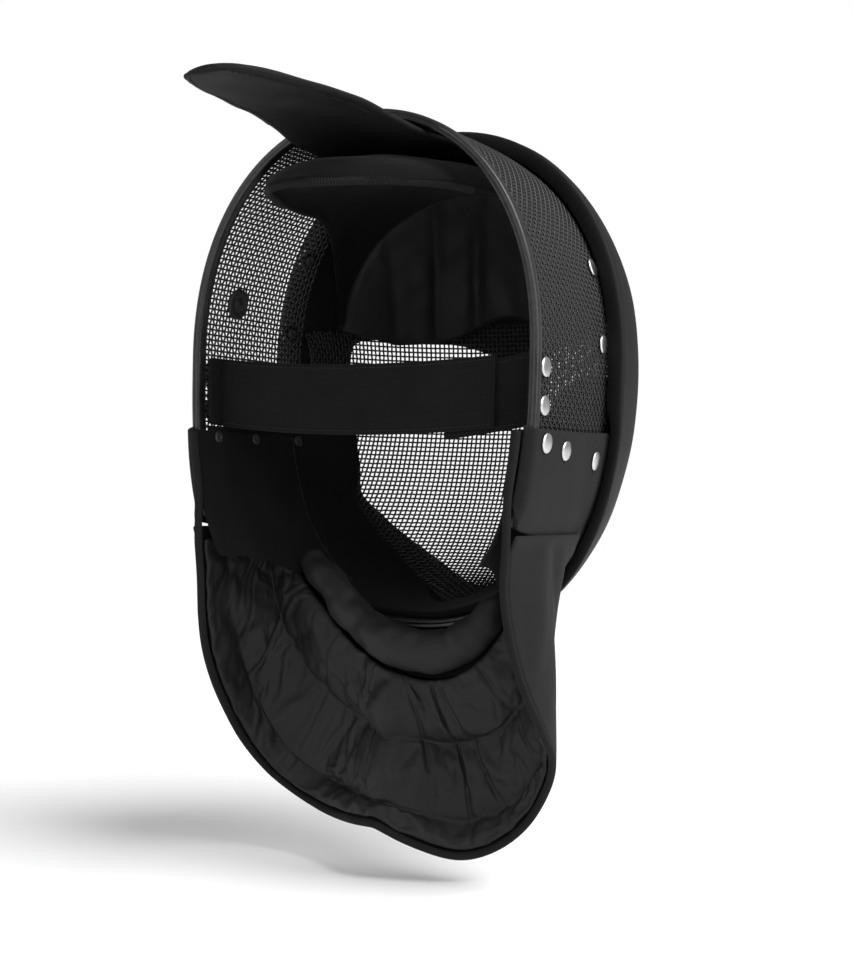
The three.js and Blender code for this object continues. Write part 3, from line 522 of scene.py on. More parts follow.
@dataclass(frozen=True)
class ClothFinish:
    """A cloth: its colour, weave and sheen."""

    name: str
    slot: str
    dark: tuple[float, float, float]
    light: tuple[float, float, float]
    weave: Weave
    pitch: float
    relief: float
    roughness: float = 0.8
    specular: float = 0.25
    sheen: float = 0.0
    crinkle: float = 0.0
    coat: float = 0.0

    def height(self, graph: Graph, u: bpy.types.NodeSocket, v: bpy.types.NodeSocket) -> bpy.types.NodeSocket:
        """Draws the weave's relief.

        Args:
            graph: The material.
            u: Distance across the cloth in metres.
            v: Distance along the cloth in metres.

        Returns:
            A socket that goes from about 0 to 1.
        """
        rate = 2 * math.pi / self.pitch
        across = graph.math("SINE", graph.math("MULTIPLY", u, rate))
        along = graph.math("SINE", graph.math("MULTIPLY", v, rate))
        if self.weave is Weave.TWILL:
            wave = graph.math("SINE", graph.math("MULTIPLY", graph.math("ADD", u, v), rate))
        elif self.weave is Weave.RIB:
            slow = graph.math("SINE", graph.math("MULTIPLY", v, rate / 3))
            wave = graph.math("ADD", graph.math("MULTIPLY", across, 0.8), graph.math("MULTIPLY", slow, 0.2))
        else:
            wave = graph.math("MULTIPLY", along, 0.6)
        return graph.math("ADD", graph.math("MULTIPLY", wave, 0.5), 0.5)

    def build(self) -> bpy.types.Material:
        """Makes the material."""
        graph = Graph(self.name)
        place = graph.add("TexCoord")
        split = graph.add("SeparateXYZ", {0: place.outputs["UV"]})
        fine = graph.add("TexNoise", {"Vector": place.outputs["Object"], "Scale": 1400.0, "Detail": 3.0})
        patch = graph.add("TexNoise", {"Vector": place.outputs["Object"], "Scale": 38.0, "Detail": 4.0})
        if self.weave in (Weave.NAP, Weave.COATED):
            height = fine.outputs["Fac"]
        else:
            height = self.height(graph, split.outputs[0], split.outputs[1])
        spread = graph.math("MULTIPLY", patch.outputs["Fac"], 0.7)
        tone = graph.math("ADD", graph.math("MULTIPLY", height, 0.5), spread)
        ramp = graph.add("ValToRGB", {0: tone})
        ramp.color_ramp.elements[0].position = 0.3
        ramp.color_ramp.elements[0].color = (*self.dark, 1)
        ramp.color_ramp.elements[1].position = 0.9
        ramp.color_ramp.elements[1].color = (*self.light, 1)
        weave = graph.add("Bump", {"Height": height, "Strength": 0.8, "Distance": self.relief})
        normal = weave.outputs[0]
        if self.crinkle:
            folds = graph.add("TexNoise", {
                "Vector": place.outputs["Object"],
                "Scale": 95.0,
                "Detail": 6.0,
                "Roughness": 0.62,
            })
            crinkle = graph.add("Bump", {
                "Height": folds.outputs["Fac"],
                "Distance": self.crinkle,
                "Normal": normal,
            })
            normal = crinkle.outputs[0]
        low, high = self.roughness - 0.07, self.roughness + 0.07
        rough = graph.add("MapRange", {0: patch.outputs["Fac"], 1: 0.3, 2: 0.7, 3: low, 4: high})
        shader = graph.add("BsdfPrincipled", {
            "Base Color": ramp.outputs[0],
            "Roughness": rough.outputs[0],
            "Normal": normal,
            "Specular IOR Level": self.specular,
            "Sheen Weight": self.sheen,
            "Sheen Roughness": 0.4,
            "Coat Weight": self.coat,
            "Coat Roughness": 0.35,
        })
        return graph.finish(shader)


@dataclass(frozen=True)
class MetalFinish:
    """A lacquered, plated or moulded hard surface."""

    name: str
    slot: str
    dark: tuple[float, float, float]
    light: tuple[float, float, float]
    metallic: float
    roughness: float
    scratch: float
    scale: float
    coat: float = 0.0

    def build(self) -> bpy.types.Material:
        """Makes the material."""
        graph = Graph(self.name)
        place = graph.add("TexCoord")
        grain = graph.add("TexNoise", {"Vector": place.outputs["Object"], "Scale": self.scale, "Detail": 5.0})
        wear = graph.add("TexNoise", {
            "Vector": place.outputs["Object"],
            "Scale": self.scale / 9,
            "Detail": 3.0,
        })
        both = graph.math("ADD", grain.outputs["Fac"], wear.outputs["Fac"])
        tone = graph.math("MULTIPLY", both, 0.5)
        ramp = graph.add("ValToRGB", {0: tone})
        ramp.color_ramp.elements[0].position = 0.35
        ramp.color_ramp.elements[0].color = (*self.dark, 1)
        ramp.color_ramp.elements[1].position = 0.68
        ramp.color_ramp.elements[1].color = (*self.light, 1)
        bump = graph.add("Bump", {"Height": grain.outputs["Fac"], "Strength": 0.6, "Distance": self.scratch})
        low, high = self.roughness - 0.06, self.roughness + 0.08
        rough = graph.add("MapRange", {0: wear.outputs["Fac"], 1: 0.3, 2: 0.7, 3: low, 4: high})
        shader = graph.add("BsdfPrincipled", {
            "Base Color": ramp.outputs[0],
            "Roughness": rough.outputs[0],
            "Metallic": self.metallic,
            "Normal": bump.outputs[0],
            "Coat Weight": self.coat,
            "Coat Roughness": 0.2,
        })
        return graph.finish(shader)


def grey(low: float, high: float, blue: float = 0.0) -> dict[str, tuple[float, float, float]]:
    """Gives the dark and the light end of a near-black colour."""
    return {"dark": (low, low, low * (1 + blue)), "light": (high, high, high * (1 + blue))}


WIRE = MetalFinish(
    "black_lacquered_wire", "wire_mesh", **grey(0.003, 0.009),
    metallic=0.1, roughness=0.5, scratch=0.02 * MM, scale=700.0, coat=0.05,
)
RIM = MetalFinish(
    "dark_lacquered_steel", "rim_metal", **grey(0.012, 0.03, 0.05),
    metallic=0.6, roughness=0.36, scratch=0.02 * MM, scale=520.0, coat=0.15,
)
STEEL = MetalFinish(
    "nickel_plate", "rivet_steel", **grey(0.5, 0.68),
    metallic=1.0, roughness=0.3, scratch=0.02 * MM, scale=900.0,
)
# A dark copy of the nickel plate: painted shade for the rivet faces inside the shell.
SHADED_NICKEL = MetalFinish(
    "nickel_painted_shade", "rivet_steel", **grey(0.02, 0.06),
    metallic=0.8, roughness=0.5, scratch=0.02 * MM, scale=900.0,
)
PLASTIC = MetalFinish(
    "moulded_plastic", "black_plastic", **grey(0.003, 0.006),
    metallic=0.0, roughness=0.6, scratch=0.03 * MM, scale=1500.0,
)
COVER = ClothFinish(
    "coated_cover_cloth", "cover_cloth", **grey(0.004, 0.008, 0.04),
    weave=Weave.COATED, pitch=1.0 * MM, relief=0.05 * MM, roughness=0.62, specular=0.16, crinkle=0.12 * MM,
)
LINING = ClothFinish(
    "brushed_lining", "brushed_lining", **grey(0.003, 0.007),
    weave=Weave.NAP, pitch=1.0 * MM, relief=0.12 * MM, roughness=0.95, specular=0.06, sheen=0.04,
)
SATIN = ClothFinish(
    "satin_nylon", "satin_nylon", **grey(0.006, 0.012, 0.08),
    weave=Weave.SATIN, pitch=0.5 * MM, relief=0.03 * MM, roughness=0.55, specular=0.2, crinkle=0.3 * MM,
)
BIB = ClothFinish(
    "dense_bib_cloth", "bib_cloth", **grey(0.006, 0.013, 0.08),
    weave=Weave.TWILL, pitch=1.1 * MM, relief=0.07 * MM, roughness=0.8, specular=0.12, sheen=0.03,
)
BINDING = ClothFinish(
    "bias_binding", "binding", **grey(0.004, 0.01, 0.04),
    weave=Weave.TWILL, pitch=1.0 * MM, relief=0.08 * MM, roughness=0.8, specular=0.12, sheen=0.03,
)
ELASTIC = ClothFinish(
    "ribbed_elastic", "elastic", **grey(0.0035, 0.009),
    weave=Weave.RIB, pitch=1.3 * MM, relief=0.14 * MM, roughness=0.9, specular=0.06, sheen=0.03,
)
THREAD = ClothFinish(
    "sewing_thread", "binding", **grey(0.008, 0.02),
    weave=Weave.TWILL, pitch=0.4 * MM, relief=0.04 * MM, roughness=0.7, specular=0.15,
)
Finish = ClothFinish | MetalFinish
_materials: dict[str, bpy.types.Material] = {}


def link(mesh: bpy.types.Mesh, name: str) -> bpy.types.Object:
    """Puts a mesh into the scene as an object at the origin."""
    piece = bpy.data.objects.new(name, mesh)
    bpy.context.scene.collection.objects.link(piece)
    return piece


def material(finish: Finish) -> bpy.types.Material:
    """Gives a finish's material, made once."""
    if finish.name not in _materials:
        _materials[finish.name] = finish.build()
    return _materials[finish.name]


def dress(piece: bpy.types.Object, finish: Finish, *nodes: str) -> bpy.types.Object:
    """Gives a piece its finish, its body and the solids that it stands for.

    Args:
        piece: The piece.
        finish: Its finish.
        nodes: The solids that it replaces.

    Returns:
        The piece.
    """
    piece.data.materials.clear()
    piece.data.materials.append(material(finish))
    for face in piece.data.polygons:
        face.use_smooth = True
    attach(piece, BODY)
    if nodes:
        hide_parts(*nodes)
    stands_for = ", ".join(nodes) or "no solid"
    LOG.info("%s: %d faces, stands for %s", piece.name, len(piece.data.polygons), stands_for)
    return piece


def to_object(bm: bmesh.types.BMesh, name: str) -> bpy.types.Object:
    """Turns a bmesh into an object."""
    mesh = bpy.data.meshes.new(name)
    bm.to_mesh(mesh)
    bm.free()
    return link(mesh, name)


def lattice(points: Array, uv: Array, away: Array | None = None, closed: bool = False) -> bmesh.types.BMesh:
    """Lays a grid of faces over a lattice of points.

    Args:
        points: Points by column and row.
        uv: The cloth's own coordinates in metres, by column and row.
        away: A place that the faces turn away from.
        closed: Whether open ends of a tube are filled.

    Returns:
        The bmesh, with the lattice's touching borders merged.
    """
    columns, rows = points.shape[:2]
    bm = bmesh.new()
    layer = bm.loops.layers.uv.new("UVMap")
    bmesh.ops.create_grid(bm, x_segments=columns - 1, y_segments=rows - 1, size=0.5)
    place = {}
    for vert in bm.verts:
        i = round((vert.co.x + 0.5) * (columns - 1))
        j = round((vert.co.y + 0.5) * (rows - 1))
        place[vert] = (i, j)
    for face in bm.faces:
        for loop in face.loops:
            loop[layer].uv = uv[place[loop.vert]]
    for vert, at in place.items():
        vert.co = points[at]
    bmesh.ops.remove_doubles(bm, verts=bm.verts, dist=0.01 * MM)
    bmesh.ops.dissolve_degenerate(bm, dist=0.005 * MM, edges=bm.edges)
    if closed:
        edges = [e for e in bm.edges if e.is_boundary]
        bmesh.ops.holes_fill(bm, edges=edges, sides=0)
    if away is not None:
        bm.normal_update()
        facing = sum(f.normal.dot(f.calc_center_median() - Vector(away)) * f.calc_area() for f in bm.faces)
        if facing < 0:
            bmesh.ops.reverse_faces(bm, faces=bm.faces)
    elif closed or not any(e.is_boundary for e in bm.edges):
        bmesh.ops.recalc_face_normals(bm, faces=bm.faces)
    return bm


def metric_uv(points: Array) -> Array:
    """Measures the cloth's own coordinates along the middle column and the middle row of a lattice."""
    u = along_line(points[:, points.shape[1] // 2])
    v = along_line(points[points.shape[0] // 2])
    return np.stack(np.meshgrid(u, v, indexing="ij"), axis=-1)


def surface(name: str, points: Array, away: Array | None = None, closed: bool = False) -> bpy.types.Object:
    """Makes an object from a lattice of points."""
    return to_object(lattice(points, metric_uv(points), away, closed), name)


def subdivide(piece: bpy.types.Object, levels: int = 1) -> None:
    """Smooths a piece with a subdivision surface."""
    modifier = piece.modifiers.new("smooth", "SUBSURF")
    modifier.levels = levels
    modifier.render_levels = levels


def thicken(piece: bpy.types.Object, thickness: float, offset: float = -1.0) -> None:
    """Gives an open sheet its thickness, inward of its faces by default."""
    modifier = piece.modifiers.new("thickness", "SOLIDIFY")
    modifier.thickness = thickness
    modifier.offset = offset


def bundle(name: str, lines: list[Array], radius: float, resolution: int = 0) -> bpy.types.Object:
    """Makes one mesh of many round wires or threads.

    Args:
        name: The piece's name.
        lines: The middle line of each wire.
        radius: The wires' radius.
        resolution: How finely they are rounded.

    Returns:
        The object.
    """
    curve = bpy.data.curves.new(name, "CURVE")
    curve.dimensions = "3D"
    curve.bevel_depth = radius
    curve.bevel_resolution = resolution
    curve.use_fill_caps = True
    for line in lines:
        spline = curve.splines.new("POLY")
        spline.points.add(len(line) - 1)
        spline.points.foreach_set("co", np.column_stack([line, np.ones(len(line))]).ravel())
    shape = bpy.data.objects.new(name + "_line", curve)
    bpy.context.scene.collection.objects.link(shape)
    graph = bpy.context.evaluated_depsgraph_get()
    mesh = bpy.data.meshes.new_from_object(shape.evaluated_get(graph))
    bpy.data.objects.remove(shape)
    bpy.data.curves.remove(curve)
    mesh.name = name
    mesh.materials.clear()
    return link(mesh, name)


def tube(
    name: str, line: Array, radius: Array, sides: int, flat: float = 1.0, up: Array | None = None
) -> bpy.types.Object:
    """Sweeps a round section along a line.

    Args:
        name: The piece's name.
        line: Points of the middle line.
        radius: Radius at each point, or one for all.
        sides: Sides of the section.
        flat: Height of the section as a share of its width.
        up: A direction that the section's height follows.

    Returns:
        The object.
    """
    tangent = unit(np.gradient(line, axis=0))
    up = np.array((0.0, 0.2, 1.0)) if up is None else up
    a = unit(np.cross(np.broadcast_to(up, tangent.shape), tangent))
    b = np.cross(tangent, a)
    turn = np.linspace(0, 2 * math.pi, sides + 1)
    radius = np.broadcast_to(radius, len(line))[:, None, None]
    ring = a[:, None] * np.cos(turn)[None, :, None] + b[:, None] * np.sin(turn)[None, :, None] * flat
    return surface(name, line[:, None] + ring * radius, closed=True)


def stitches(
    name: str, line: Array, normal: Array, pitch: float = 3.2 * MM, radius: float = 0.28 * MM
) -> bpy.types.Object:
    """Lays a row of stitches on a surface.

    Args:
        name: The piece's name.
        line: Points of the seam.
        normal: The surface's direction at each point.
        pitch: Distance from one stitch to the next.
        radius: Radius of the thread.

    Returns:
        The object.
    """
    length = along_line(line)
    lines = []
    for start in np.arange(pitch, length[-1] - pitch, pitch):
        at = start + np.array([0.0, 0.2, 0.5, 0.8, 1.0]) * 0.72 * pitch
        rise = np.array([-1.0, 0.7, 1.0, 0.7, -1.0]) * radius
        point = np.stack([np.interp(at, length, line[:, k]) for k in range(3)], axis=-1)
        out = unit(np.stack([np.interp(at, length, normal[:, k]) for k in range(3)], axis=-1))
        lines.append(point + out * rise[:, None])
    return bundle(name, lines, radius)


@dataclass
class WireBowl:
    """The woven wire of the back band and of the face window."""

    pitch: float = 2.95 * MM
    wire: float = 0.6 * MM
    swing: float = 0.55 * MM
    band_low: float = -48 * MM
    band_back: float = 0.8 * MM
    band_front: float = 101 * MM
    window_top: float = 34 * MM
    window_margin: float = 1.02
    window_middle: float = -45 * MM
    window_side: float = 40 * MM

    def hoops(self) -> None:
        """Weaves the back band from hoops over the arch and runs that go forward."""
        start = float(SHELL.angle_at(self.band_low, 0.0))
        angles = np.linspace(start, math.pi - start, 3000)
        length = along_line(SHELL.points(angles, np.zeros(3000)))
        crossings = int(length[-1] / self.pitch)
        steps = np.interp(np.linspace(0, length[-1], 2 * crossings + 1), length, angles)
        depths = np.arange(self.band_back, self.band_front, self.pitch / 2)
        i, j = np.meshgrid(np.arange(len(steps)), np.arange(len(depths)), indexing="ij")
        swing = self.swing * np.cos(math.pi * i / 2) * np.cos(math.pi * j / 2)
        points = SHELL.points(steps[:, None], depths[None, :], 0.0)
        normals = SHELL.normals(steps[:, None], depths[None, :])
        over = points + normals * swing[..., None]
        under = points - normals * swing[..., None]
        hoops = [over[:, k] for k in range(0, len(depths), 2)]
        runs = [under[k] for k in range(0, len(steps), 2)]
        dress(bundle("mesh_hoops", hoops, self.wire, 1), WIRE, "mesh_shell")
        dress(bundle("mesh_runs", runs, self.wire, 1), WIRE, "mesh_shell")

    def even_steps(self, places: Array, other: float, across: bool) -> Array:
        """Picks places half a pitch apart along the curved window.

        Args:
            places: Places from 0 outward.
            other: The height, or the distance aside, that they are measured at.
            across: Whether the places lie across, and not down.

        Returns:
            The places of the crossings and half crossings.
        """
        flat = np.full(len(places), other)
        depth = SHELL.depth_at(places, flat) if across else SHELL.depth_at(flat, -places)
        length = along_line(np.stack([places, depth], axis=-1))
        return np.interp(np.arange(0, length[-1], self.pitch / 2), length, places)

    def window(self) -> None:
        """Weaves the face window from upright and level wires."""
        x = self.even_steps(np.linspace(0, 102 * MM, 600), self.window_middle, True)
        x = np.concatenate([-x[::-1][:-1], x])
        fall = self.even_steps(np.linspace(0, 146 * MM, 700), self.window_side, False)
        rise = self.even_steps(np.linspace(0, self.window_top, 120), self.window_side, False)
        z = np.concatenate([rise[::-1][:-1], -fall])
        i, j = np.meshgrid(np.arange(len(x)), np.arange(len(z)), indexing="ij")
        px, pz = x[i], z[j]
        step = 0.5 * MM
        depth = SHELL.depth_at(px, pz)
        slope_x = (SHELL.depth_at(px + step, pz) - SHELL.depth_at(px - step, pz)) / (2 * step)
        slope_z = (SHELL.depth_at(px, pz + step) - SHELL.depth_at(px, pz - step)) / (2 * step)
        normal = unit(np.stack([-slope_x, -np.ones_like(px), -slope_z], axis=-1))
        swing = self.swing * np.cos(math.pi * i / 2) * np.cos(math.pi * j / 2)
        points = to_part(px, depth, pz)
        above = (pz > 0) & (np.abs(px) < 0.9 * WINDOW.half_width)
        inside = (WINDOW.reach(px, pz) < self.window_margin) | above
        over = points + normal * swing[..., None]
        under = points - normal * swing[..., None]
        uprights = [over[k][inside[k]] for k in range(0, len(x), 2)]
        levels = [under[:, k][inside[:, k]] for k in range(0, len(z), 2)]
        dress(bundle("mesh_uprights", [w for w in uprights if len(w) > 3], self.wire, 1), WIRE, "mesh_shell")
        dress(bundle("mesh_levels", [w for w in levels if len(w) > 3], self.wire, 1), WIRE, "mesh_shell")

    def build(self) -> None:
        """Makes the woven wire."""
        self.hoops()
        self.window()


@dataclass
class RimChannel:
    """The folded channel over the whole edge of the shell."""

    stations: int = 420
    profile: Table = (
        (2.5, 3.0),
        (2.72, 2.4),
        (2.62, 1.6),
        (2.3, 1.1),
        (2.25, 0.5),
        (2.62, 0.0),
        (2.72, -0.8),
        (2.5, -1.8),
        (1.9, -2.6),
        (1.2, -2.85),
        (0.5, -2.45),
        (0.0, -2.35),
        (-0.5, -2.45),
        (-1.2, -2.85),
        (-1.9, -2.6),
        (-2.5, -1.8),
        (-2.6, 0.0),
        (-2.6, 2.2),
        (-2.4, 3.0),
        (-1.5, 3.0),
        (-1.4, -0.8),
        (1.4, -0.8),
        (1.5, 3.0),
        (2.5, 3.0),
    )

    def build(self) -> None:
        """Sweeps the folded section along the edge."""
        angle, forward = SHELL.edge_loop(self.stations)
        points = SHELL.points(angle, forward)
        here = np.arange(len(points))
        tangent = points[(here + 1) % (len(points) - 1)] - points[here - 1]
        tangent[0] = tangent[-1] = points[1] - points[-2]
        normal = SHELL.normals(angle, forward)
        inward = unit(np.cross(normal, unit(tangent)))
        section = np.array(self.profile) * MM
        across = normal[:, None] * section[None, :, :1]
        rings = points[:, None] + across + inward[:, None] * section[None, :, 1:]
        rings[-1] = rings[0]
        dress(surface("rim_channel", rings), RIM, "rim_trim")


@dataclass
class SectionPad:
    """A pad with round edges that follows the shell form from one depth to another."""

    name: str
    angle: Array
    start: Array
    end: Array
    inner: float
    outer: float
    runs: int = 22
    nose: int = 5
    puff: float = 0.0
    waves: float = 0.0
    wave_size: float = 40 * MM
    seed: int = 1
    ring: bool = False

    def lattice(self) -> Array:
        """Works out the pad's points, column by column."""
        middle, half = (self.inner + self.outer) / 2, (self.outer - self.inner) / 2
        columns = []
        for angle, start, end in zip(self.angle, self.start, self.end):
            forward = start + (end - start) * np.sin(math.pi / 2 * np.linspace(0, 1, 160))
            length = along_line(SHELL.points(np.full(160, angle), forward, middle))
            total = length[-1]
            nose = np.linspace(0, math.pi, self.nose + 2)[1:-1]
            run = np.linspace(half, max(total - half, half + 1e-5), self.runs)
            share = np.clip((run - half) / max(total - 2 * half, 1e-5), 0, 1)
            crown = self.puff * np.sin(math.pi * share) ** 0.6
            far = np.stack([run[-1] + half * np.sin(nose), half * np.cos(nose)], axis=-1)
            near = np.stack([half - half * np.sin(nose), -half * np.cos(nose)], axis=-1)
            outward = np.stack([run, np.full(self.runs, half)], axis=-1)
            inward = np.stack([run[::-1], -half - crown[::-1]], axis=-1)
            section = np.concatenate([outward, far, inward, near, outward[:1]])
            depth = np.interp(section[:, 0], length, forward)
            columns.append(SHELL.points(np.full(len(section), angle), depth, middle + section[:, 1]))
        points = np.array(columns)
        if self.waves:
            depths = np.broadcast_to(self.start[:, None], points.shape[:2])
            normals = SHELL.normals(self.angle[:, None], depths)
            shift = ripple(points, self.wave_size, self.seed) * self.waves
            shift[:, -1] = shift[:, 0]
            points = points + normals * shift[..., None]
        if self.ring:
            points[-1] = points[0]
        return points

    def build(self, finish: Finish, *nodes: str) -> bpy.types.Object:
        """Makes the pad."""
        piece = surface(self.name, self.lattice(), closed=not self.ring)
        return dress(piece, finish, *nodes)


@dataclass
class FaceCover:
    """The padded cover over forehead, cheeks and chin, with its bound edges."""

    inner: float = 5.8 * MM
    outer: float = 11.8 * MM
    back: float = 94 * MM
    columns: int = 240
    piping: float = 1.4 * MM
    band_top: float = 40 * MM

    def build(self) -> None:
        """Makes the cover and the bindings along its back edge and its window."""
        angle = np.linspace(-math.pi / 2, 1.5 * math.pi, self.columns + 1)
        start = np.full(len(angle), self.back)
        end = WINDOW.depth_along(SHELL, angle, self.outer, self.back)
        pad = SectionPad(
            "face_cover", angle, start, end, self.inner, self.outer,
            runs=40, nose=7, waves=0.25 * MM, wave_size=60 * MM, seed=4, ring=True,
        )
        pad.build(COVER, "outer_cover")
        middle = (self.inner + self.outer) / 2
        above = smooth_step((SHELL.points(angle, start)[:, 2] + SEAT_HEIGHT + self.band_top) / (20 * MM))
        line = SHELL.points(angle, start, middle - blend(-0.6 * MM, 2.1 * MM, above))
        out = unit(line - to_part(0.0, 120 * MM, -20 * MM))
        self.binding("cover_back_binding", line, out, blend(3.4 * MM, 5.2 * MM, above))
        line = SHELL.points(angle, end, middle)
        out = unit(line - to_part(0.0, 120 * MM, -20 * MM))
        self.binding("cover_window_binding", line, out, np.full(len(angle), 3.1 * MM))

    def binding(self, name: str, line: Array, out: Array, height: Array) -> None:
        """Lays a folded binding along an edge of the cover.

        Args:
            name: The piece's name.
            line: The edge.
            out: The outward direction along it.
            height: Half the binding's height along it.
        """
        tangent = unit(np.roll(line[:-1], -1, axis=0) - np.roll(line[:-1], 1, axis=0))
        tangent = np.concatenate([tangent, tangent[:1]])
        side = unit(np.cross(out, tangent))
        turn = np.linspace(0, 2 * math.pi, 11)
        rise = out[:, None] * np.cos(turn)[None, :, None] * height[:, None, None]
        ring = rise + side[:, None] * np.sin(turn)[None, :, None] * self.piping
        points = line[:, None] + ring
        points[-1] = points[0]
        dress(surface(name, points), BINDING)


@dataclass
class Tongue:
    """The padded leaf that bears on the back of the head."""

    reach: float = 145 * MM
    inside: float = 45 * MM
    half_width: float = 41 * MM
    thickness: float = 7 * MM
    drop: float = 11.5 * MM
    lift: float = 5 * MM
    bow: float = 2 * MM
    sidestep: float = -5 * MM
    rows: Table = (
        (0.0, 0.9, 0.0),
        (0.04, 1.0, 0.0),
        (0.23, 1.0, 0.0),
        (0.4, 0.9, 0.55),
        (0.55, 0.82, 0.95),
        (0.67, 0.76, 1.0),
        (0.76, 0.69, 1.0),
        (0.86, 0.59, 0.95),
        (0.94, 0.48, 0.9),
        (0.985, 0.34, 0.85),
        (1.0, 0.2, 0.82),
    )

    def place(self, share: Array, u: Array, level: Array) -> Array:
        """Places points of the leaf by their share of its length, of its half width and of its thickness."""
        half = read_table(self.rows, 1, share) * self.half_width
        lift = read_table(self.rows, 2, share) * self.lift
        tip = np.sqrt(np.clip(1 - share ** 26, 0.12, 1))
        height = SHELL.crown_rise - self.drop + lift - self.bow * u ** 2 + 0.5 * level * self.thickness * tip
        behind = blend(-self.inside, self.reach, share)
        return to_part(u * half + self.sidestep * smooth_step(2 * behind / self.reach), -behind, height)

    def build(self) -> None:
        """Makes the leaf, its welt and the stitches beside it."""
        share = np.sin(math.pi / 2 * np.linspace(0, 1, 70))[:, None]
        turn = np.linspace(0, 2 * math.pi, 41)[None, :]
        u = np.sign(np.cos(turn)) * np.abs(np.cos(turn)) ** 0.75
        level = np.sign(np.sin(turn)) * np.abs(np.sin(turn)) ** 0.62
        points = self.place(*np.broadcast_arrays(share, u, level))
        points[..., 2] += 0.35 * MM * ripple(points, 34 * MM, 8)
        points[:, -1] = points[:, 0]
        piece = dress(surface("tongue_leaf", points, closed=True), COVER, "tongue")
        run = np.sin(math.pi / 2 * np.linspace(0.3, 0.985, 90))
        sides = [self.place(run, np.full(90, side * 0.985), np.zeros(90)) for side in (1.0, -1.0)]
        line = np.concatenate([sides[0], sides[1][::-1][1:]])
        dress(tube("tongue_welt", line, 1.1 * MM, 8), BINDING)
        for side in (1, -1):
            under = -0.98 * math.sin(math.acos(0.86 ** 1.33)) ** 0.62
            seam = self.place(run, np.full(90, side * 0.86), np.full(90, under))
            normal = np.tile((0.0, 0.0, -1.0), (90, 1))
            name = "tongue_stitches_left" if side > 0 else "tongue_stitches_right"
            dress(stitches(name, seam, normal), THREAD)


@dataclass
class CrownLining:
    """The crown lining with its rounded flap behind the rim."""

    reach: float = 62 * MM
    front: float = 120.6 * MM
    half_width: float = 84.5 * MM
    thickness: float = 7 * MM
    rows: Table = (
        (0.0, 0.05, 0.775, 0.78),
        (0.02, 0.16, 0.775, 0.79),
        (0.06, 0.26, 0.785, 0.82),
        (0.12, 0.36, 0.8, 0.86),
        (0.23, 0.53, 0.815, 0.905),
        (0.34, 0.64, 0.825, 0.945),
        (0.45, 0.73, 0.815, 0.975),
        (0.56, 0.76, 0.805, 0.995),
        (0.67, 0.765, 0.8, 1.0),
        (0.78, 0.82, 0.745, 1.0),
        (0.86, 0.885, 0.655, 0.995),
        (0.94, 0.955, 0.45, 0.985),
        (1.0, 1.0, 0.245, 0.975),
    )

    def place(self, share: Array, turn: Array, grow: Array) -> Array:
        """Places points of the lining.

        Args:
            share: From the flap (0) to the forehead (1).
            turn: The turn across, from the wearer's left (0) to the right (pi).
            grow: Height over the underside.

        Returns:
            Points of the part's frame.
        """
        width = read_table(self.rows, 1, share) * self.half_width + 0.6 * grow
        edge = read_table(self.rows, 2, share) * SEAT_HEIGHT
        middle = read_table(self.rows, 3, share) * SEAT_HEIGHT + grow
        height = edge + (middle - edge) * np.sin(turn)
        return to_part(width * np.cos(turn), blend(-self.reach, self.front, share), height)

    def build(self) -> None:
        """Makes the lining and the overlocked band along the flap."""
        share = (np.linspace(0, 1, 90) ** 1.15)[:, None]
        turn = np.concatenate([np.linspace(0, math.pi, 49), np.linspace(math.pi, 0, 49)[1:]])[None, :]
        upper = np.concatenate([np.zeros(49), np.ones(48)])
        upper[[0, -1]] = 0.5
        upper[48] = 0.5
        thick = self.thickness * np.clip(0.35 + 6 * share, 0, 1)
        points = self.place(*np.broadcast_arrays(share, turn, thick * upper[None, :]))
        points[..., 2] += 0.5 * MM * ripple(points, 45 * MM, 21)
        points[:, -1] = points[:, 0]
        piece = dress(surface("crown_lining", points, closed=True), LINING, "crown_pad")
        run = np.linspace(0.004, 0.42, 70)
        rows = [self.place(run, np.full(70, side), np.full(70, 2.4 * MM)) for side in (0.0, math.pi)]
        line = np.concatenate([rows[0][::-1], rows[1][1:]])
        dress(tube("flap_binding", line, 2.0 * MM, 10), BINDING)
        length = along_line(line)
        threads = []
        for at in np.arange(2 * MM, length[-1] - 2 * MM, 1.5 * MM):
            centre = np.array([np.interp(at, length, line[:, k]) for k in range(3)])
            ahead = unit(np.array([np.interp(at + MM, length, line[:, k]) for k in range(3)]) - centre)
            side = unit(np.cross(ahead, (0.0, 0.0, 1.0)))
            up = np.cross(side, ahead)
            turns = np.linspace(0, 2 * math.pi, 9)[:, None]
            loop = (side * np.cos(turns) + up * np.sin(turns)) * 2.2 * MM
            threads.append(centre + loop + ahead * turns * 0.12 * MM)
        dress(bundle("flap_overlock", threads, 0.3 * MM), THREAD)


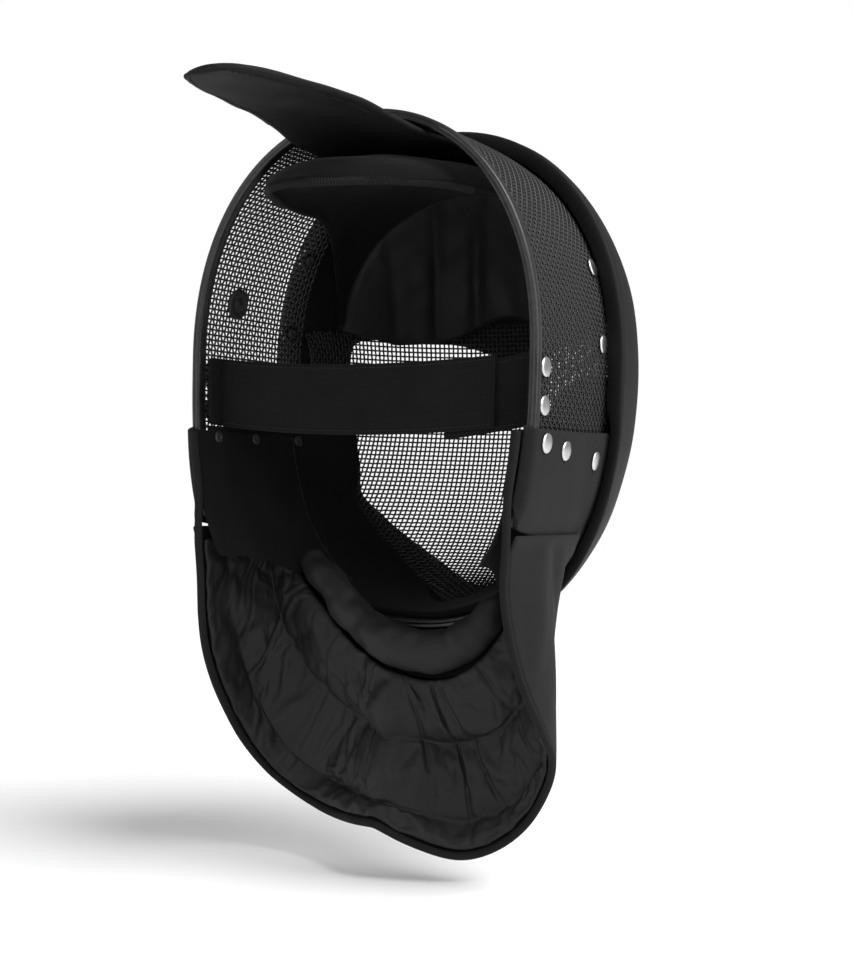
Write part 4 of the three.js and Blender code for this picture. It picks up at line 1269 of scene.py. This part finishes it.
@dataclass
class BrowPad:
    """The satin pad inside the forehead, with its creases."""

    back: float = 121 * MM
    bottom: float = 18 * MM
    outer: float = -3.4 * MM
    thickness: float = 11 * MM
    corner: float = 6 * MM
    creases: Table = (
        (36 * MM, 0.5, 4 * MM, 3.2 * MM),
        (8 * MM, 0.5, 4.5 * MM, 3 * MM),
        (-30 * MM, -0.45, 5 * MM, 2.6 * MM),
        (64 * MM, 0.3, 4 * MM, 2 * MM),
        (-62 * MM, -0.3, 5 * MM, 2 * MM),
    )

    def build(self) -> None:
        """Makes the pad."""
        inner = self.outer - self.thickness
        first = float(SHELL.angle_at(self.bottom + self.corner, self.back, inner))
        angle = np.linspace(first, math.pi - first, 110)
        rise = SHELL.points(angle, np.zeros(110), inner)[:, 2] + SEAT_HEIGHT
        narrowing = np.clip(self.bottom / rise, 0, 0.999)
        end = (SHELL.depth + inner) * (1 - narrowing ** SHELL.girth_power) ** (1 / SHELL.depth_power)
        pad = SectionPad(
            "brow_pad", angle, np.full(110, self.back), end, inner + 2 * MM, self.outer,
            runs=40, nose=7, puff=3.2 * MM,
        )
        points = pad.lattice()
        middle = to_part(0.0, 120 * MM, 30 * MM)
        inward = unit(middle - points)
        x = points[..., 0]
        f = SEAT_FORWARD - points[..., 1]
        for centre, lean, width, depth in self.creases:
            away = x - centre - lean * (f - 150 * MM)
            points = points - inward * (depth * np.exp(-(away / width) ** 2))[..., None]
        points = points + inward * (0.6 * MM * ripple(points, 26 * MM, 31))[..., None]
        points[:, -1] = points[:, 0]
        piece = dress(surface("brow_pad", points, closed=True), SATIN, "forehead_pad")


@dataclass
class CheekLining:
    """The lining of cheeks and chin, inside the wire."""

    outer: float = -2.9 * MM
    thickness: float = 4 * MM
    top: float = -8 * MM
    strap_bottom: float = -40.9 * MM
    tab_front: float = 19 * MM
    lap: float = 3.4 * MM
    back: float = 94 * MM
    margin: float = 17 * MM
    top_line: Table = (
        (0.0, 0.0),
        (0.25, 0.45),
        (0.6, 0.8),
        (1.0, 1.0),
    )

    def build(self) -> None:
        """Makes the lining, a band of its own form with round edges."""
        share = np.linspace(0, 1, 34)
        level = blend(self.strap_bottom, self.top, read_table(self.top_line, 1, share))
        forward = blend(self.tab_front + 0.4 * MM, self.back, share)
        top_angle = SHELL.angle_at(level, forward)
        low_angle, low_forward = SHELL.edge_under(-self.strap_bottom, 150)
        low_forward = low_forward + self.lap
        angle = np.concatenate([-math.pi - top_angle[::-1], low_angle, top_angle])
        start = np.concatenate([forward[::-1], low_forward, forward])
        inner = self.outer - self.thickness
        end = WINDOW.depth_along(SHELL, angle, inner, self.back, self.margin)
        pad = SectionPad(
            "cheek_pads", angle, start, end, inner, self.outer,
            runs=34, nose=5, puff=0.8 * MM, waves=0.5 * MM, wave_size=42 * MM, seed=14,
        )
        pad.build(LINING, "cheek_lining")


@dataclass
class Bib:
    """The band on the shell, the hanging cloth, the quilted lining, its roll and its binding."""

    band_inner: float = 2.9 * MM
    band_cloth: float = 1.8 * MM
    band_top: float = 40 * MM
    band_front: float = 118 * MM
    overhang: float = 7 * MM
    hem: float = 6.5 * MM
    hem_drop: float = 80 * MM
    cloth: float = 1.8 * MM
    seam_level: float = 3 * MM
    crest_level: float = 9 * MM
    seams: tuple[float, ...] = (0.0, 0.18, 0.66)
    fold_at: float = 0.12
    fold_width: float = 0.13
    creases: Table = (
        (-0.11, 0.02, 0.006, 3 * MM),
        (-0.2, -0.03, 0.006, 3.4 * MM),
        (-0.32, 0.04, 0.008, 2.4 * MM),
        (0.03, 0.05, 0.007, 2.6 * MM),
        (0.4, -0.05, 0.014, 1.6 * MM),
        (0.62, 0.04, 0.014, 1.4 * MM),
        (-0.5, -0.04, 0.012, 1.8 * MM),
    )
    quilt_columns: int = 200
    quilt_rows: int = 56
    roll_radius: float = 12 * MM
    roll_end: float = 0.8
    roll_taper: float = 0.5
    roll_standoff: float = 0.6 * MM
    piping: float = 2.6 * MM
    bound: float = 2.2 * MM
    facing_cloth: float = 1.2 * MM
    gusset_depth: float = 12 * MM
    facing_line: Table = (
        (-2.5 * MM, -7.5 * MM),
        (-4.5 * MM, -6.5 * MM),
        (-6.2 * MM, -3.5 * MM),
        (-6.8 * MM, 0.0),
        (-7.2 * MM, 5 * MM),
        (-7.6 * MM, 12 * MM),
        (-7.8 * MM, 22 * MM),
        (-8.0 * MM, 34 * MM),
        (-8.0 * MM, 50 * MM),
        (-8.0 * MM, 66 * MM),
        (-8.0 * MM, 82 * MM),
    )

    def band(self) -> None:
        """Makes the flat band on the outside of the shell."""
        angle, edge = SHELL.edge_under(self.band_top, 180)
        drop = -(SHELL.points(angle, edge)[:, 2] + SEAT_HEIGHT)
        overhang = blend(self.overhang, 3.8 * MM, smooth_step((drop - SHELL.jaw_drop) / SHELL.edge_turn))
        hem_fade = SHELL.jaw_drop - SHELL.edge_turn - self.hem_drop
        hem = (1 - smooth_step((drop - self.hem_drop) / hem_fade))[:, None]
        share = np.concatenate([np.zeros(6), np.linspace(0, 1, 28)])[None, :]
        turned = np.concatenate([np.linspace(1, 0, 6), np.zeros(28)])[None, :]
        back = blend(overhang[:, None], blend(4.15 * MM, overhang[:, None], turned ** 0.6), hem)
        start = edge[:, None] - back
        forward = blend(start, self.band_front, share)
        offset = self.band_inner + self.band_cloth - self.hem * hem * turned
        points = SHELL.points(angle[:, None], np.maximum(forward, 0.0), offset)
        points[..., 1] = SEAT_FORWARD - forward
        outward = unit(points - to_part(0.0, 60 * MM, -60 * MM))
        points = points + outward * (0.25 * MM * ripple(points, 38 * MM, 3))[..., None]
        piece = surface("bib_yoke", points, away=to_part(0.0, 60 * MM, -60 * MM))
        thicken(piece, self.band_cloth)
        subdivide(piece)
        dress(piece, BIB, "bib_band")

    def outer(self) -> None:
        """Makes the hanging cloth on the outside."""
        p = np.linspace(1, -1, 150)[:, None]
        q = np.linspace(0.0, 1.0, 46)[None, :]
        p, q = np.broadcast_arrays(p, q)
        points = APRON.points(p, q, True)
        normals = APRON.normals(p, q, True)
        clear = APRON.gap * (1 + 3.2 * smooth_step(2 * q - 1)) + self.cloth
        fold = 0.8 * MM * ripple(points * (1, 1, 0.35), 30 * MM, 12)
        fold = fold * smooth_step(6 * (1 - q)) * smooth_step(8 * q)
        points = points + normals * (clear + np.maximum(fold, -0.2 * MM))[..., None]
        along = 1 - np.abs(p[:, 0])
        side = np.where(p[:, 0] < 0, -1.0, 1.0)[:, None] * (1, 0, 0) + (0, 1, 1)
        lift = self.cloth + 1.2 * MM
        lap = [APRON.band_line(along, ahead, lift) * side for ahead in (3 * MM, 6.5 * MM, 10 * MM)]
        points = np.concatenate([points[:, :-1], np.stack(lap, axis=1)], axis=1)
        sides = []
        for height in (-96.5 * MM, -100.5 * MM):
            border = points[0]
            forward = np.maximum(SEAT_FORWARD - border[:, 1], 0.0)
            offset = self.band_inner + self.band_cloth + self.cloth + 0.6 * MM
            angle = SHELL.angle_at(np.full(len(border), height), forward, offset)
            over = SHELL.points(angle, forward, offset)
            over[:, 1] = border[:, 1]
            sides.append(over)
        points = np.concatenate([np.array(sides), points, np.array(sides[::-1]) * (-1, 1, 1)])
        piece = surface("bib_hanging_cloth", points, away=to_part(0.0, 0.0, -170 * MM))
        thicken(piece, self.cloth)
        subdivide(piece)
        dress(piece, BIB, "bib_outer")

    def level(self, inset: Array) -> Array:
        """Gives how far the quilt stands off its cloth between its seams."""
        edges = np.array([*self.seams, 1.0])
        i = np.clip(np.searchsorted(edges, inset, side="right") - 1, 0, len(edges) - 2)
        t = (inset - edges[i]) / (edges[i + 1] - edges[i])
        crest = np.clip(np.sin(math.pi * t), 0, 1) ** 0.5
        height = np.where(i == 0, 0.5, 1.0)
        return crest * height

    def lining(self) -> None:
        """Makes the quilted lining: puffed between its seams, and gathered so that it wrinkles."""
        p = np.linspace(1, -1, self.quilt_columns)[:, None]
        inset = np.linspace(0, 1, self.quilt_rows)[None, :]
        p, inset = np.broadcast_arrays(p, inset)
        q = blend(0.005, 0.985, inset)
        base = APRON.points(p, q)
        out = APRON.normals(p, q)
        crest = self.level(inset)
        fold = np.exp(-((p - self.fold_at) / self.fold_width) ** 2)
        gather = ripple(base * (1.3, 1.3, 0.2), 16 * MM, 5)
        fine = ripple(base * (1.6, 1.6, 0.3), 7 * MM, 6)
        crease = np.zeros_like(p)
        for place, lean, width, depth in self.creases:
            crease = crease + depth * np.exp(-((p - place - lean * inset) / width) ** 2)
        wrinkle = (0.35 + 1.1 * fold) * gather + (0.15 + 0.5 * fold) * fine
        puff = blend(self.seam_level, self.crest_level, crest) + crest ** 0.5 * (wrinkle * MM - crease)
        points = base - out * (APRON.gap + np.maximum(puff, 1.5 * MM))[..., None]
        bm = lattice(points, metric_uv(points), away=to_part(0.0, 0.0, -170 * MM))
        bmesh.ops.reverse_faces(bm, faces=bm.faces)
        piece = to_object(bm, "bib_quilt")
        near = 0.5 / self.quilt_rows
        pinned = [
            k for k in range(self.quilt_rows)
            if min(abs(inset[0, k] - seam) for seam in (*self.seams, 1.0)) < near
        ]
        gathered(piece, pinned, self.quilt_columns, self.quilt_rows, cap=4 * MM)
        thicken(piece, 2.2 * MM)
        subdivide(piece)
        dress(piece, SATIN, "bib_lining")

    def roll(self) -> None:
        """Makes the fat roll along the throat line."""
        p = np.linspace(self.roll_end, -self.roll_end, 120)
        radius = self.roll_radius * blend(1.0, self.roll_taper, p ** 2)
        along = 1 - np.abs(p)
        base = APRON.line(APRON.throat, p)
        base[:, 0] *= np.sign(p)
        sideways = -np.sign(p) * 0.6 * (1 - along)
        lift = unit(np.stack([sideways, np.full(120, 0.25), np.full(120, 0.95)], axis=-1))
        line = base + lift * (radius + self.roll_standoff)[:, None]
        for _ in range(6):
            line[1:-1] = (line[:-2] + 2 * line[1:-1] + line[2:]) / 4
        ends = np.sqrt(np.clip(1 - np.linspace(-1, 1, 120) ** 24, 0.06, 1))
        creases = 1 - 0.06 * np.abs(np.sin(np.linspace(0, 19, 120) + np.sin(np.linspace(0, 7, 120)))) ** 6
        tangent = unit(np.gradient(line, axis=0))
        a = unit(np.cross(np.tile((0.0, 0.3, 1.0), (120, 1)), tangent))
        b = np.cross(tangent, a)
        turn = np.linspace(0, 2 * math.pi, 37)
        tall = (1.12 - 0.3 * smooth_step(0.5 + 1.5 * p))[:, None, None]
        wide = a[:, None] * np.cos(turn)[None, :, None] * 0.92
        ring = wide + b[:, None] * np.sin(turn)[None, :, None] * tall
        rings = line[:, None] + ring * (radius * ends * creases)[:, None, None]
        rings = rings + unit(rings - line[:, None]) * (0.5 * MM * ripple(rings, 16 * MM, 9))[..., None]
        rings[:, -1] = rings[:, 0]
        piece = dress(surface("throat_roll", rings, closed=True), SATIN, "chin_roll")

    def binding(self) -> None:
        """Makes the bound edge of the bib."""
        heights = -np.linspace(self.band_top + self.piping, APRON.seam_drop - 5 * self.piping, 5)
        edge_x = APRON.half_width * APRON.free_edge[0][2]
        offset = self.band_inner + self.band_cloth - self.hem - 0.85 * self.piping
        x = np.maximum(SHELL.points(SHELL.angle_at(heights, 0.0, offset), 0.0, offset)[:, 0], edge_x)
        upright = to_part(x, np.full(5, -self.overhang - self.piping), heights)
        p = np.linspace(1, -1, 121)
        edge = APRON.points(p, np.zeros(121))
        away = unit(edge - APRON.points(p, np.full(121, 0.1)))
        line = np.concatenate([upright, edge + away * 0.5 * self.piping, upright[::-1] * (-1, 1, 1)])
        length = along_line(line)
        even = np.linspace(0, length[-1], 420)
        line = np.stack([np.interp(even, length, line[:, k]) for k in range(3)], axis=-1)
        for _ in range(5):
            line[1:-1] = (line[:-2] + 2 * line[1:-1] + line[2:]) / 4
        piece = tube("bib_bound_edge", line, self.bound, 14, up=np.array((0.0, 1.0, 0.15)))
        dress(piece, BINDING, "bib_piping")

    def facing(self) -> None:
        """Makes the cloth that runs from the bound edge round behind the rim and down to the throat."""
        rows = 26
        columns = []
        for offset, forward in self.facing_line:
            bottom = blend(9 * MM, 26 * MM, float(smooth_step(forward / self.facing_line[-1][1])))
            heights = -np.linspace(self.band_top + 1.5 * MM, APRON.seam_drop + bottom, rows)
            depth = np.full(rows, forward)
            ahead = np.maximum(depth, 0.0)
            place = SHELL.points(SHELL.angle_at(heights, ahead, offset), ahead, offset)
            place[:, 1] = SEAT_FORWARD - depth
            columns.append(place)
        points = np.array(columns)
        for name, side in (("bib_facing_left", 1.0), ("bib_facing_right", -1.0)):
            cloth = points * (side, 1, 1)
            cloth = cloth + np.array((0.0, 0.3, 0.0)) * MM * ripple(cloth, 22 * MM, 41)[..., None]
            piece = surface(name, cloth, away=to_part(side * 300 * MM, 20 * MM, -70 * MM))
            thicken(piece, self.facing_cloth, 0.0)
            subdivide(piece)
            dress(piece, LINING)

    def gusset(self) -> None:
        """Makes the cloth that joins the throat to the inside of the shell's edge."""
        p = np.linspace(1, -1, 90)
        along = 1 - np.abs(p)
        throat = APRON.points(p, np.full(90, 0.97))
        shell = APRON.band_line(along, 16 * MM, -self.gusset_depth)
        shell[:, 0] *= np.where(p < 0, -1.0, 1.0)
        share = np.linspace(0, 1, 9)[None, :, None]
        points = blend(throat[:, None], shell[:, None], share)
        points[..., 2] += 2.5 * MM * np.sin(math.pi * share[..., 0])
        piece = surface("throat_gusset", points, away=to_part(0.0, 0.0, -170 * MM))
        thicken(piece, self.facing_cloth, 0.0)
        subdivide(piece)
        dress(piece, LINING)

    def build(self) -> None:
        """Makes the whole bib."""
        self.band()
        self.facing()
        self.outer()
        self.lining()
        self.roll()
        self.gusset()
        self.binding()


def gathered(piece: bpy.types.Object, rows: list[int], columns: int, height: int, cap: float) -> None:
    """Lets a quilted sheet swell and wrinkle between its pinned seams.

    Args:
        piece: The sheet, a grid in order of its rows.
        rows: Rows of the grid that are pinned.
        columns: Columns of the grid.
        height: Rows of the grid; not used.
        cap: The most that a point may move.
    """
    mesh = piece.data
    before = np.empty(len(mesh.vertices) * 3)
    mesh.vertices.foreach_get("co", before)
    before = before.reshape(-1, 3)
    pins = piece.vertex_groups.new(name="seams")
    held = [i for i in range(len(mesh.vertices)) if i // columns in rows or i % columns in (0, columns - 1)]
    pins.add(held, 1.0, "REPLACE")
    cloth = piece.modifiers.new("swell", "CLOTH")
    cloth.settings.vertex_group_mass = "seams"
    cloth.settings.quality = 5
    cloth.settings.mass = 0.2
    cloth.settings.tension_stiffness = 20
    cloth.settings.compression_stiffness = 20
    cloth.settings.shear_stiffness = 8
    cloth.settings.bending_stiffness = 0.3
    cloth.settings.use_pressure = True
    cloth.settings.uniform_pressure_force = 4
    cloth.settings.shrink_min = -0.05
    cloth.settings.shrink_max = -0.05
    cloth.settings.effector_weights.gravity = 0
    cloth.collision_settings.use_self_collision = False
    cloth.collision_settings.use_collision = False
    cloth.point_cache.frame_start = 1
    cloth.point_cache.frame_end = 20
    scene = bpy.context.scene
    for step in range(1, 21):
        scene.frame_set(step)
    graph = bpy.context.evaluated_depsgraph_get()
    swollen = piece.evaluated_get(graph).data
    after = np.empty(len(swollen.vertices) * 3)
    swollen.vertices.foreach_get("co", after)
    move = after.reshape(-1, 3) - before
    size = np.linalg.norm(move, axis=1, keepdims=True)
    move *= np.minimum(1, cap / np.maximum(size, 1e-9))
    piece.modifiers.remove(cloth)
    mesh.vertices.foreach_set("co", (before + move).ravel())
    mesh.update()
    scene.frame_set(1)
    LOG.info("%s swelled by up to %.1f mm", piece.name, float(size.max()) * 1000)


@dataclass
class Straps:
    """The wide elastic across the back and its fastening end."""

    width: float = 39 * MM
    thickness: float = 2.2 * MM
    height: float = -19 * MM
    sag: float = 6 * MM
    forward: float = 14 * MM
    bow: float = 10 * MM
    reach: float = 102.3 * MM
    free_end: float = 80 * MM
    tail_end: float = 50 * MM
    tail_tilt: float = 4 * MM
    layer: float = 2.6 * MM
    tab_front: float = 19 * MM
    tab_back: float = 12 * MM

    def line(self, x: Array, offset: float, tilt: float, v: Array) -> Array:
        """Places points of a strap by their distance from the middle and their share of its width."""
        across = np.clip(1 - (x / self.reach) ** 2, 0, 1)
        forward = self.forward - self.bow * across + offset
        fall = tilt * np.clip((self.reach - np.abs(x)) / (self.reach - self.tail_end), 0, 1)
        middle = self.height - self.sag * across - fall
        return to_part(x, forward, middle + v * self.width)

    def band(self, name: str, start: float, end: float, offset: float, tilt: float, node: str) -> None:
        """Makes one strap, with its tab on the inside of the shell."""
        side = math.copysign(1.0, start)
        x = np.linspace(start, end, 90)[:, None]
        v = np.linspace(-0.5, 0.5, 13)[None, :]
        x, v = np.broadcast_arrays(x, v)
        band = self.line(x, offset, tilt, v)
        height = self.height + v[0] * self.width
        tab_forward = np.linspace(self.tab_front, self.tab_back, 6)[:, None]
        angle = SHELL.angle_at(*np.broadcast_arrays(height[None, :], tab_forward), -4 * MM)
        tab = SHELL.points(angle, np.broadcast_to(tab_forward, angle.shape), -4 * MM)
        tab[..., 0] *= side
        points = np.concatenate([tab, band])
        for _ in range(3):
            points[4:10] = (points[3:9] + 2 * points[4:10] + points[5:11]) / 4
        piece = surface(name, points, away=to_part(0.0, 400 * MM, 0.0))
        thicken(piece, self.thickness, 0.0)
        subdivide(piece)
        dress(piece, ELASTIC, node)
        for share in (-0.44, 0.44):
            across = np.linspace(start * 0.98, end, 120)
            seam = self.line(across, offset - 1.2 * MM, tilt, np.full(120, share))
            normal = np.tile((0.0, 1.0, 0.0), (120, 1))
            row = "low" if share < 0 else "high"
            dress(stitches(f"{name}_stitches_{row}", seam, normal, 2.6 * MM, 0.22 * MM), THREAD)

    def tab(self, name: str, side: float, node: str) -> None:
        """Makes the folded end of a strap against the inside of the shell."""
        height = self.height + np.linspace(-0.5, 0.5, 9)[None, :] * self.width
        forward = np.linspace(3.6 * MM, self.tab_front + 1 * MM, 8)[:, None]
        height, forward = np.broadcast_arrays(height, forward)
        points = SHELL.points(SHELL.angle_at(height, forward, -5.4 * MM), forward, -5.4 * MM) * (side, 1, 1)
        piece = surface(name, points, away=to_part(0.0, 14 * MM, -20 * MM))
        thicken(piece, 2.4 * MM, 0.0)
        subdivide(piece)
        dress(piece, ELASTIC, node)

    def build(self) -> None:
        """Makes both straps."""
        self.tab("strap_tab_left", 1.0, "strap_main")
        self.tab("strap_tab_right", -1.0, "strap_end")
        self.band("back_strap", self.reach, -self.free_end, 0.0, 0.0, "strap_main")
        self.band("strap_fastener", -self.reach, -self.tail_end, self.layer, self.tail_tilt, "strap_end")


@dataclass
class Rivets:
    """The rivets, snaps and the side disc."""

    head: float = 5.4 * MM
    rise: float = 1.6 * MM
    shank: float = 1.6 * MM
    washer: float = 3.5 * MM
    washer_rise: float = 1 * MM
    clearance: float = 0.4 * MM
    washer_clearance: float = 1.4 * MM
    disc: float = 9 * MM
    head_edge: Table = ((0.96, 0.44), (1.0, 0.3), (0.99, 0.1), (0.94, 0.0))
    washer_profile: Table = ((1.0, 0.0), (1.0, 0.4), (0.8, 1.0), (0.3, 1.0), (0.22, 0.6), (0.0, 0.6))
    disc_profile: Table = (
        (0.0, 0.0),
        (0.9, 0.0),
        (1.0, 0.4),
        (1.0, 1.5),
        (0.93, 2.0),
        (0.72, 2.0),
        (0.66, 1.4),
        (0.3, 1.4),
        (0.24, 2.0),
        (0.0, 2.0),
    )
    bib_rivets: tuple[Table, Table] = (
        ((48 * MM, 8 * MM), (51 * MM, 33 * MM), (55 * MM, 77 * MM)),
        ((46 * MM, 8 * MM), (46 * MM, 44 * MM), (46 * MM, 86 * MM)),
    )
    snaps: tuple[tuple[float, float], tuple[float, float]] = ((52 * MM, 9 * MM), (67 * MM, 22 * MM))

    def stand(self, angle: float, forward: float) -> Matrix:
        """Gives the place of a rivet: its axis outward through the wall."""
        point = Vector(SHELL.points(np.array(angle), np.array(forward)))
        normal = Vector(SHELL.normals(np.array(angle), np.array(forward)))
        return Matrix.Translation(point) @ normal.to_track_quat("Z", "Y").to_matrix().to_4x4()

    def turned(
        self, name: str, profile: list[tuple[float, float]], place: Matrix, finish: Finish, node: str
    ) -> None:
        """Turns a profile into a round piece.

        Args:
            name: The piece's name.
            profile: Radius and height of each corner.
            place: Where the piece stands.
            finish: Its finish.
            node: The solid that it stands for.
        """
        bm = bmesh.new()
        verts = [bm.verts.new((r, 0.0, h)) for r, h in profile]
        edges = [bm.edges.new(pair) for pair in zip(verts, verts[1:])]
        bmesh.ops.spin(
            bm,
            geom=verts + edges,
            cent=(0, 0, 0),
            axis=(0, 0, 1),
            angle=2 * math.pi,
            steps=32,
            use_merge=True,
        )
        bmesh.ops.remove_doubles(bm, verts=bm.verts, dist=0.002 * MM)
        bmesh.ops.recalc_face_normals(bm, faces=bm.faces)
        inner = [face.calc_center_median().z < 0 for face in bm.faces]
        bmesh.ops.transform(bm, matrix=place, verts=bm.verts)
        piece = dress(to_object(bm, name), finish, node)
        # Faces inside the shell take the dark copy of the nickel, as painted shade.
        if finish is STEEL:
            piece.data.materials.append(material(SHADED_NICKEL))
            piece.data.polygons.foreach_set("material_index", np.array(inner, np.int32))

    def rivet(
        self, node: str, angle: float, forward: float, outside: float, inside: float, washer: bool
    ) -> None:
        """Makes one rivet: a low dome with a rolled edge, its shank, and a washer where it has one.

        Args:
            node: The solid that it stands for.
            angle: Angle round the section.
            forward: Depth forward of the rim plane.
            outside: Where its head starts, from the middle of the wall.
            inside: Where its shank ends.
            washer: Whether it has a washer inside.
        """
        r, h = self.head, self.rise
        profile = [(0.0, outside + 0.96 * h)]
        for t in np.linspace(0.15, 1.2, 7):
            profile.append((r * math.sin(t), outside + h * (0.3 + 0.66 * math.cos(t) ** 0.8)))
        for across, up in self.head_edge:
            profile.append((across * r, outside + up * h))
        profile += [(self.shank, outside), (self.shank, inside)]
        if washer:
            for across, fall in self.washer_profile:
                profile.append((across * self.washer, inside - fall * self.washer_rise))
        else:
            profile.append((0.0, inside))
        self.turned("fixing_" + node, profile, self.stand(angle, forward), STEEL, node)

    def build(self) -> None:
        """Makes every rivet and the disc."""
        wall = SHELL.wall / 2
        for name, side in (("left", 1), ("right", -1)):
            def round_to(angle: float, side: int = side) -> float:
                """Turns an angle on the wearer's left to this side."""
                return angle if side > 0 else math.pi - angle

            for i, height in enumerate((-9 * MM, -29 * MM)):
                angle = round_to(float(SHELL.angle_at(height, 9.5 * MM)))
                outside, inside = wall + self.clearance, -4.2 * MM
                self.rivet(f"strap_rivet_{name}_{i + 1}", angle, 9.5 * MM, outside, inside, False)
            for i, (drop, forward) in enumerate(self.bib_rivets[side > 0]):
                angle = round_to(float(SHELL.angle_at(-drop, forward)))
                outside, inside = 4.7 * MM + self.clearance, -6.9 * MM - self.washer_clearance
                self.rivet(f"bib_rivet_{name}_{i + 1}", angle, forward, outside, inside, True)
            for i, height in enumerate(self.snaps[side > 0]):
                angle = round_to(float(SHELL.angle_at(height, 87 * MM)))
                outside, inside = wall + self.clearance, -wall - self.washer_clearance
                self.rivet(f"cover_snap_{name}_{i + 1}", angle, 87 * MM, outside, inside, True)
            angle = math.pi / 2 - side * math.asin(22 * MM / SHELL.half_width)
            self.rivet(f"tongue_rivet_{name}", angle, 30 * MM, wall + self.clearance, -11.5 * MM, False)
        angle = float(SHELL.angle_at(34 * MM, 30 * MM))
        top, r = -wall - 0.8 * MM, self.disc
        profile = [(across * r, top - fall * MM) for across, fall in self.disc_profile]
        self.turned("side_button", profile, self.stand(angle, 30 * MM), PLASTIC, "side_disc")


@dataclass
class Studio:
    """The floor, the soft light and the camera at the photograph's angle."""

    yaw: float = math.radians(29.6)
    lift: float = math.radians(-0.5)
    roll: float = math.radians(1.1)
    distance: float = 0.9
    lens: float = 63.75
    target: tuple[float, float, float] = (-0.0448, 0.05, -0.1744)
    floor_gap: float = 14 * MM

    def camera(self) -> None:
        """Places the camera."""
        back = Vector((
            -math.sin(self.yaw) * math.cos(self.lift),
            math.cos(self.yaw) * math.cos(self.lift),
            math.sin(self.lift),
        ))
        right = Vector((-math.cos(self.yaw), -math.sin(self.yaw), 0))
        up = back.cross(right)
        tilted_right = right * math.cos(self.roll) + up * math.sin(self.roll)
        tilted_up = up * math.cos(self.roll) - right * math.sin(self.roll)
        data = bpy.data.cameras.new("camera")
        data.lens = self.lens
        data.sensor_width = 36
        camera = bpy.data.objects.new("camera", data)
        turn = Matrix((tilted_right, tilted_up, back)).transposed().to_4x4()
        camera.matrix_world = Matrix.Translation(Vector(self.target) + back * self.distance) @ turn
        bpy.context.scene.collection.objects.link(camera)
        bpy.context.scene.camera = camera

    def light(self, name: str, place: tuple[float, float, float], size: float, power: float) -> None:
        """Adds a soft area light that looks at the middle of the mask."""
        data = bpy.data.lights.new(name, "AREA")
        data.size = size
        data.energy = power
        lamp = bpy.data.objects.new(name, data)
        aim = Vector(self.target) - Vector(place)
        lamp.matrix_world = Matrix.Translation(place) @ aim.to_track_quat("-Z", "Y").to_matrix().to_4x4()
        bpy.context.scene.collection.objects.link(lamp)

    def build(self) -> None:
        """Makes the floor, the lights, the world and the camera."""
        scene = bpy.context.scene
        scene.view_settings.view_transform = "Standard"
        bm = bmesh.new()
        bmesh.ops.create_circle(bm, cap_ends=True, segments=96, radius=6.0)
        bmesh.ops.translate(bm, vec=(0, 0, CAD_BOX[0][2] - self.floor_gap), verts=bm.verts)
        floor = to_object(bm, "floor")
        graph = Graph("pale_floor")
        place = graph.add("TexCoord")
        grain = graph.add("TexNoise", {"Vector": place.outputs["Object"], "Scale": 60.0})
        tone = graph.add("MapRange", {0: grain.outputs["Fac"], 3: 0.9, 4: 0.93})
        colour = graph.add("CombineColor", {0: tone.outputs[0], 1: tone.outputs[0], 2: tone.outputs[0]})
        shader = graph.add("BsdfPrincipled", {
            "Base Color": colour.outputs[0],
            "Roughness": 0.9,
            "Specular IOR Level": 0.1,
        })
        floor.data.materials.append(graph.finish(shader))
        sun = bpy.data.lights.new("overhead", "SUN")
        sun.energy = 3.2
        sun.angle = math.radians(40)
        lamp = bpy.data.objects.new("overhead", sun)
        lamp.matrix_world = Vector((-0.75, 0.1, 1.0)).to_track_quat("Z", "Y").to_matrix().to_4x4()
        scene.collection.objects.link(lamp)
        self.light("key", (-0.9, 1.3, 0.7), 0.9, 9.0)
        self.light("fill", (0.9, 1.2, -0.1), 0.9, 5.0)
        self.light("side", (-1.2, -0.1, 0.2), 0.8, 6.0)
        world = bpy.data.worlds.new("studio")
        scene.world = world
        world.use_nodes = True
        tree = world.node_tree
        tree.nodes.clear()
        seen = tree.nodes.new("ShaderNodeBackground")
        seen.inputs[0].default_value = (1, 1, 1, 1)
        lit = tree.nodes.new("ShaderNodeBackground")
        lit.inputs[0].default_value = (1, 1, 1, 1)
        lit.inputs[1].default_value = 0.35
        path = tree.nodes.new("ShaderNodeLightPath")
        mix = tree.nodes.new("ShaderNodeMixShader")
        output = tree.nodes.new("ShaderNodeOutputWorld")
        tree.links.new(path.outputs["Is Camera Ray"], mix.inputs[0])
        tree.links.new(lit.outputs[0], mix.inputs[1])
        tree.links.new(seen.outputs[0], mix.inputs[2])
        tree.links.new(mix.outputs[0], output.inputs[0])
        self.camera()


def main() -> None:
    """Builds the mask piece by piece, then the studio."""
    logging.basicConfig(level=logging.INFO, format="%(name)s: %(message)s")
    linings = (CrownLining(), BrowPad(), CheekLining())
    fittings = (Bib(), Straps(), Rivets())
    for assembly in (WireBowl(), RimChannel(), FaceCover(), Tongue(), *linings, *fittings, Studio()):
        LOG.info("building %s", type(assembly).__name__)
        assembly.build()


if __name__ == "__main__":
    main()
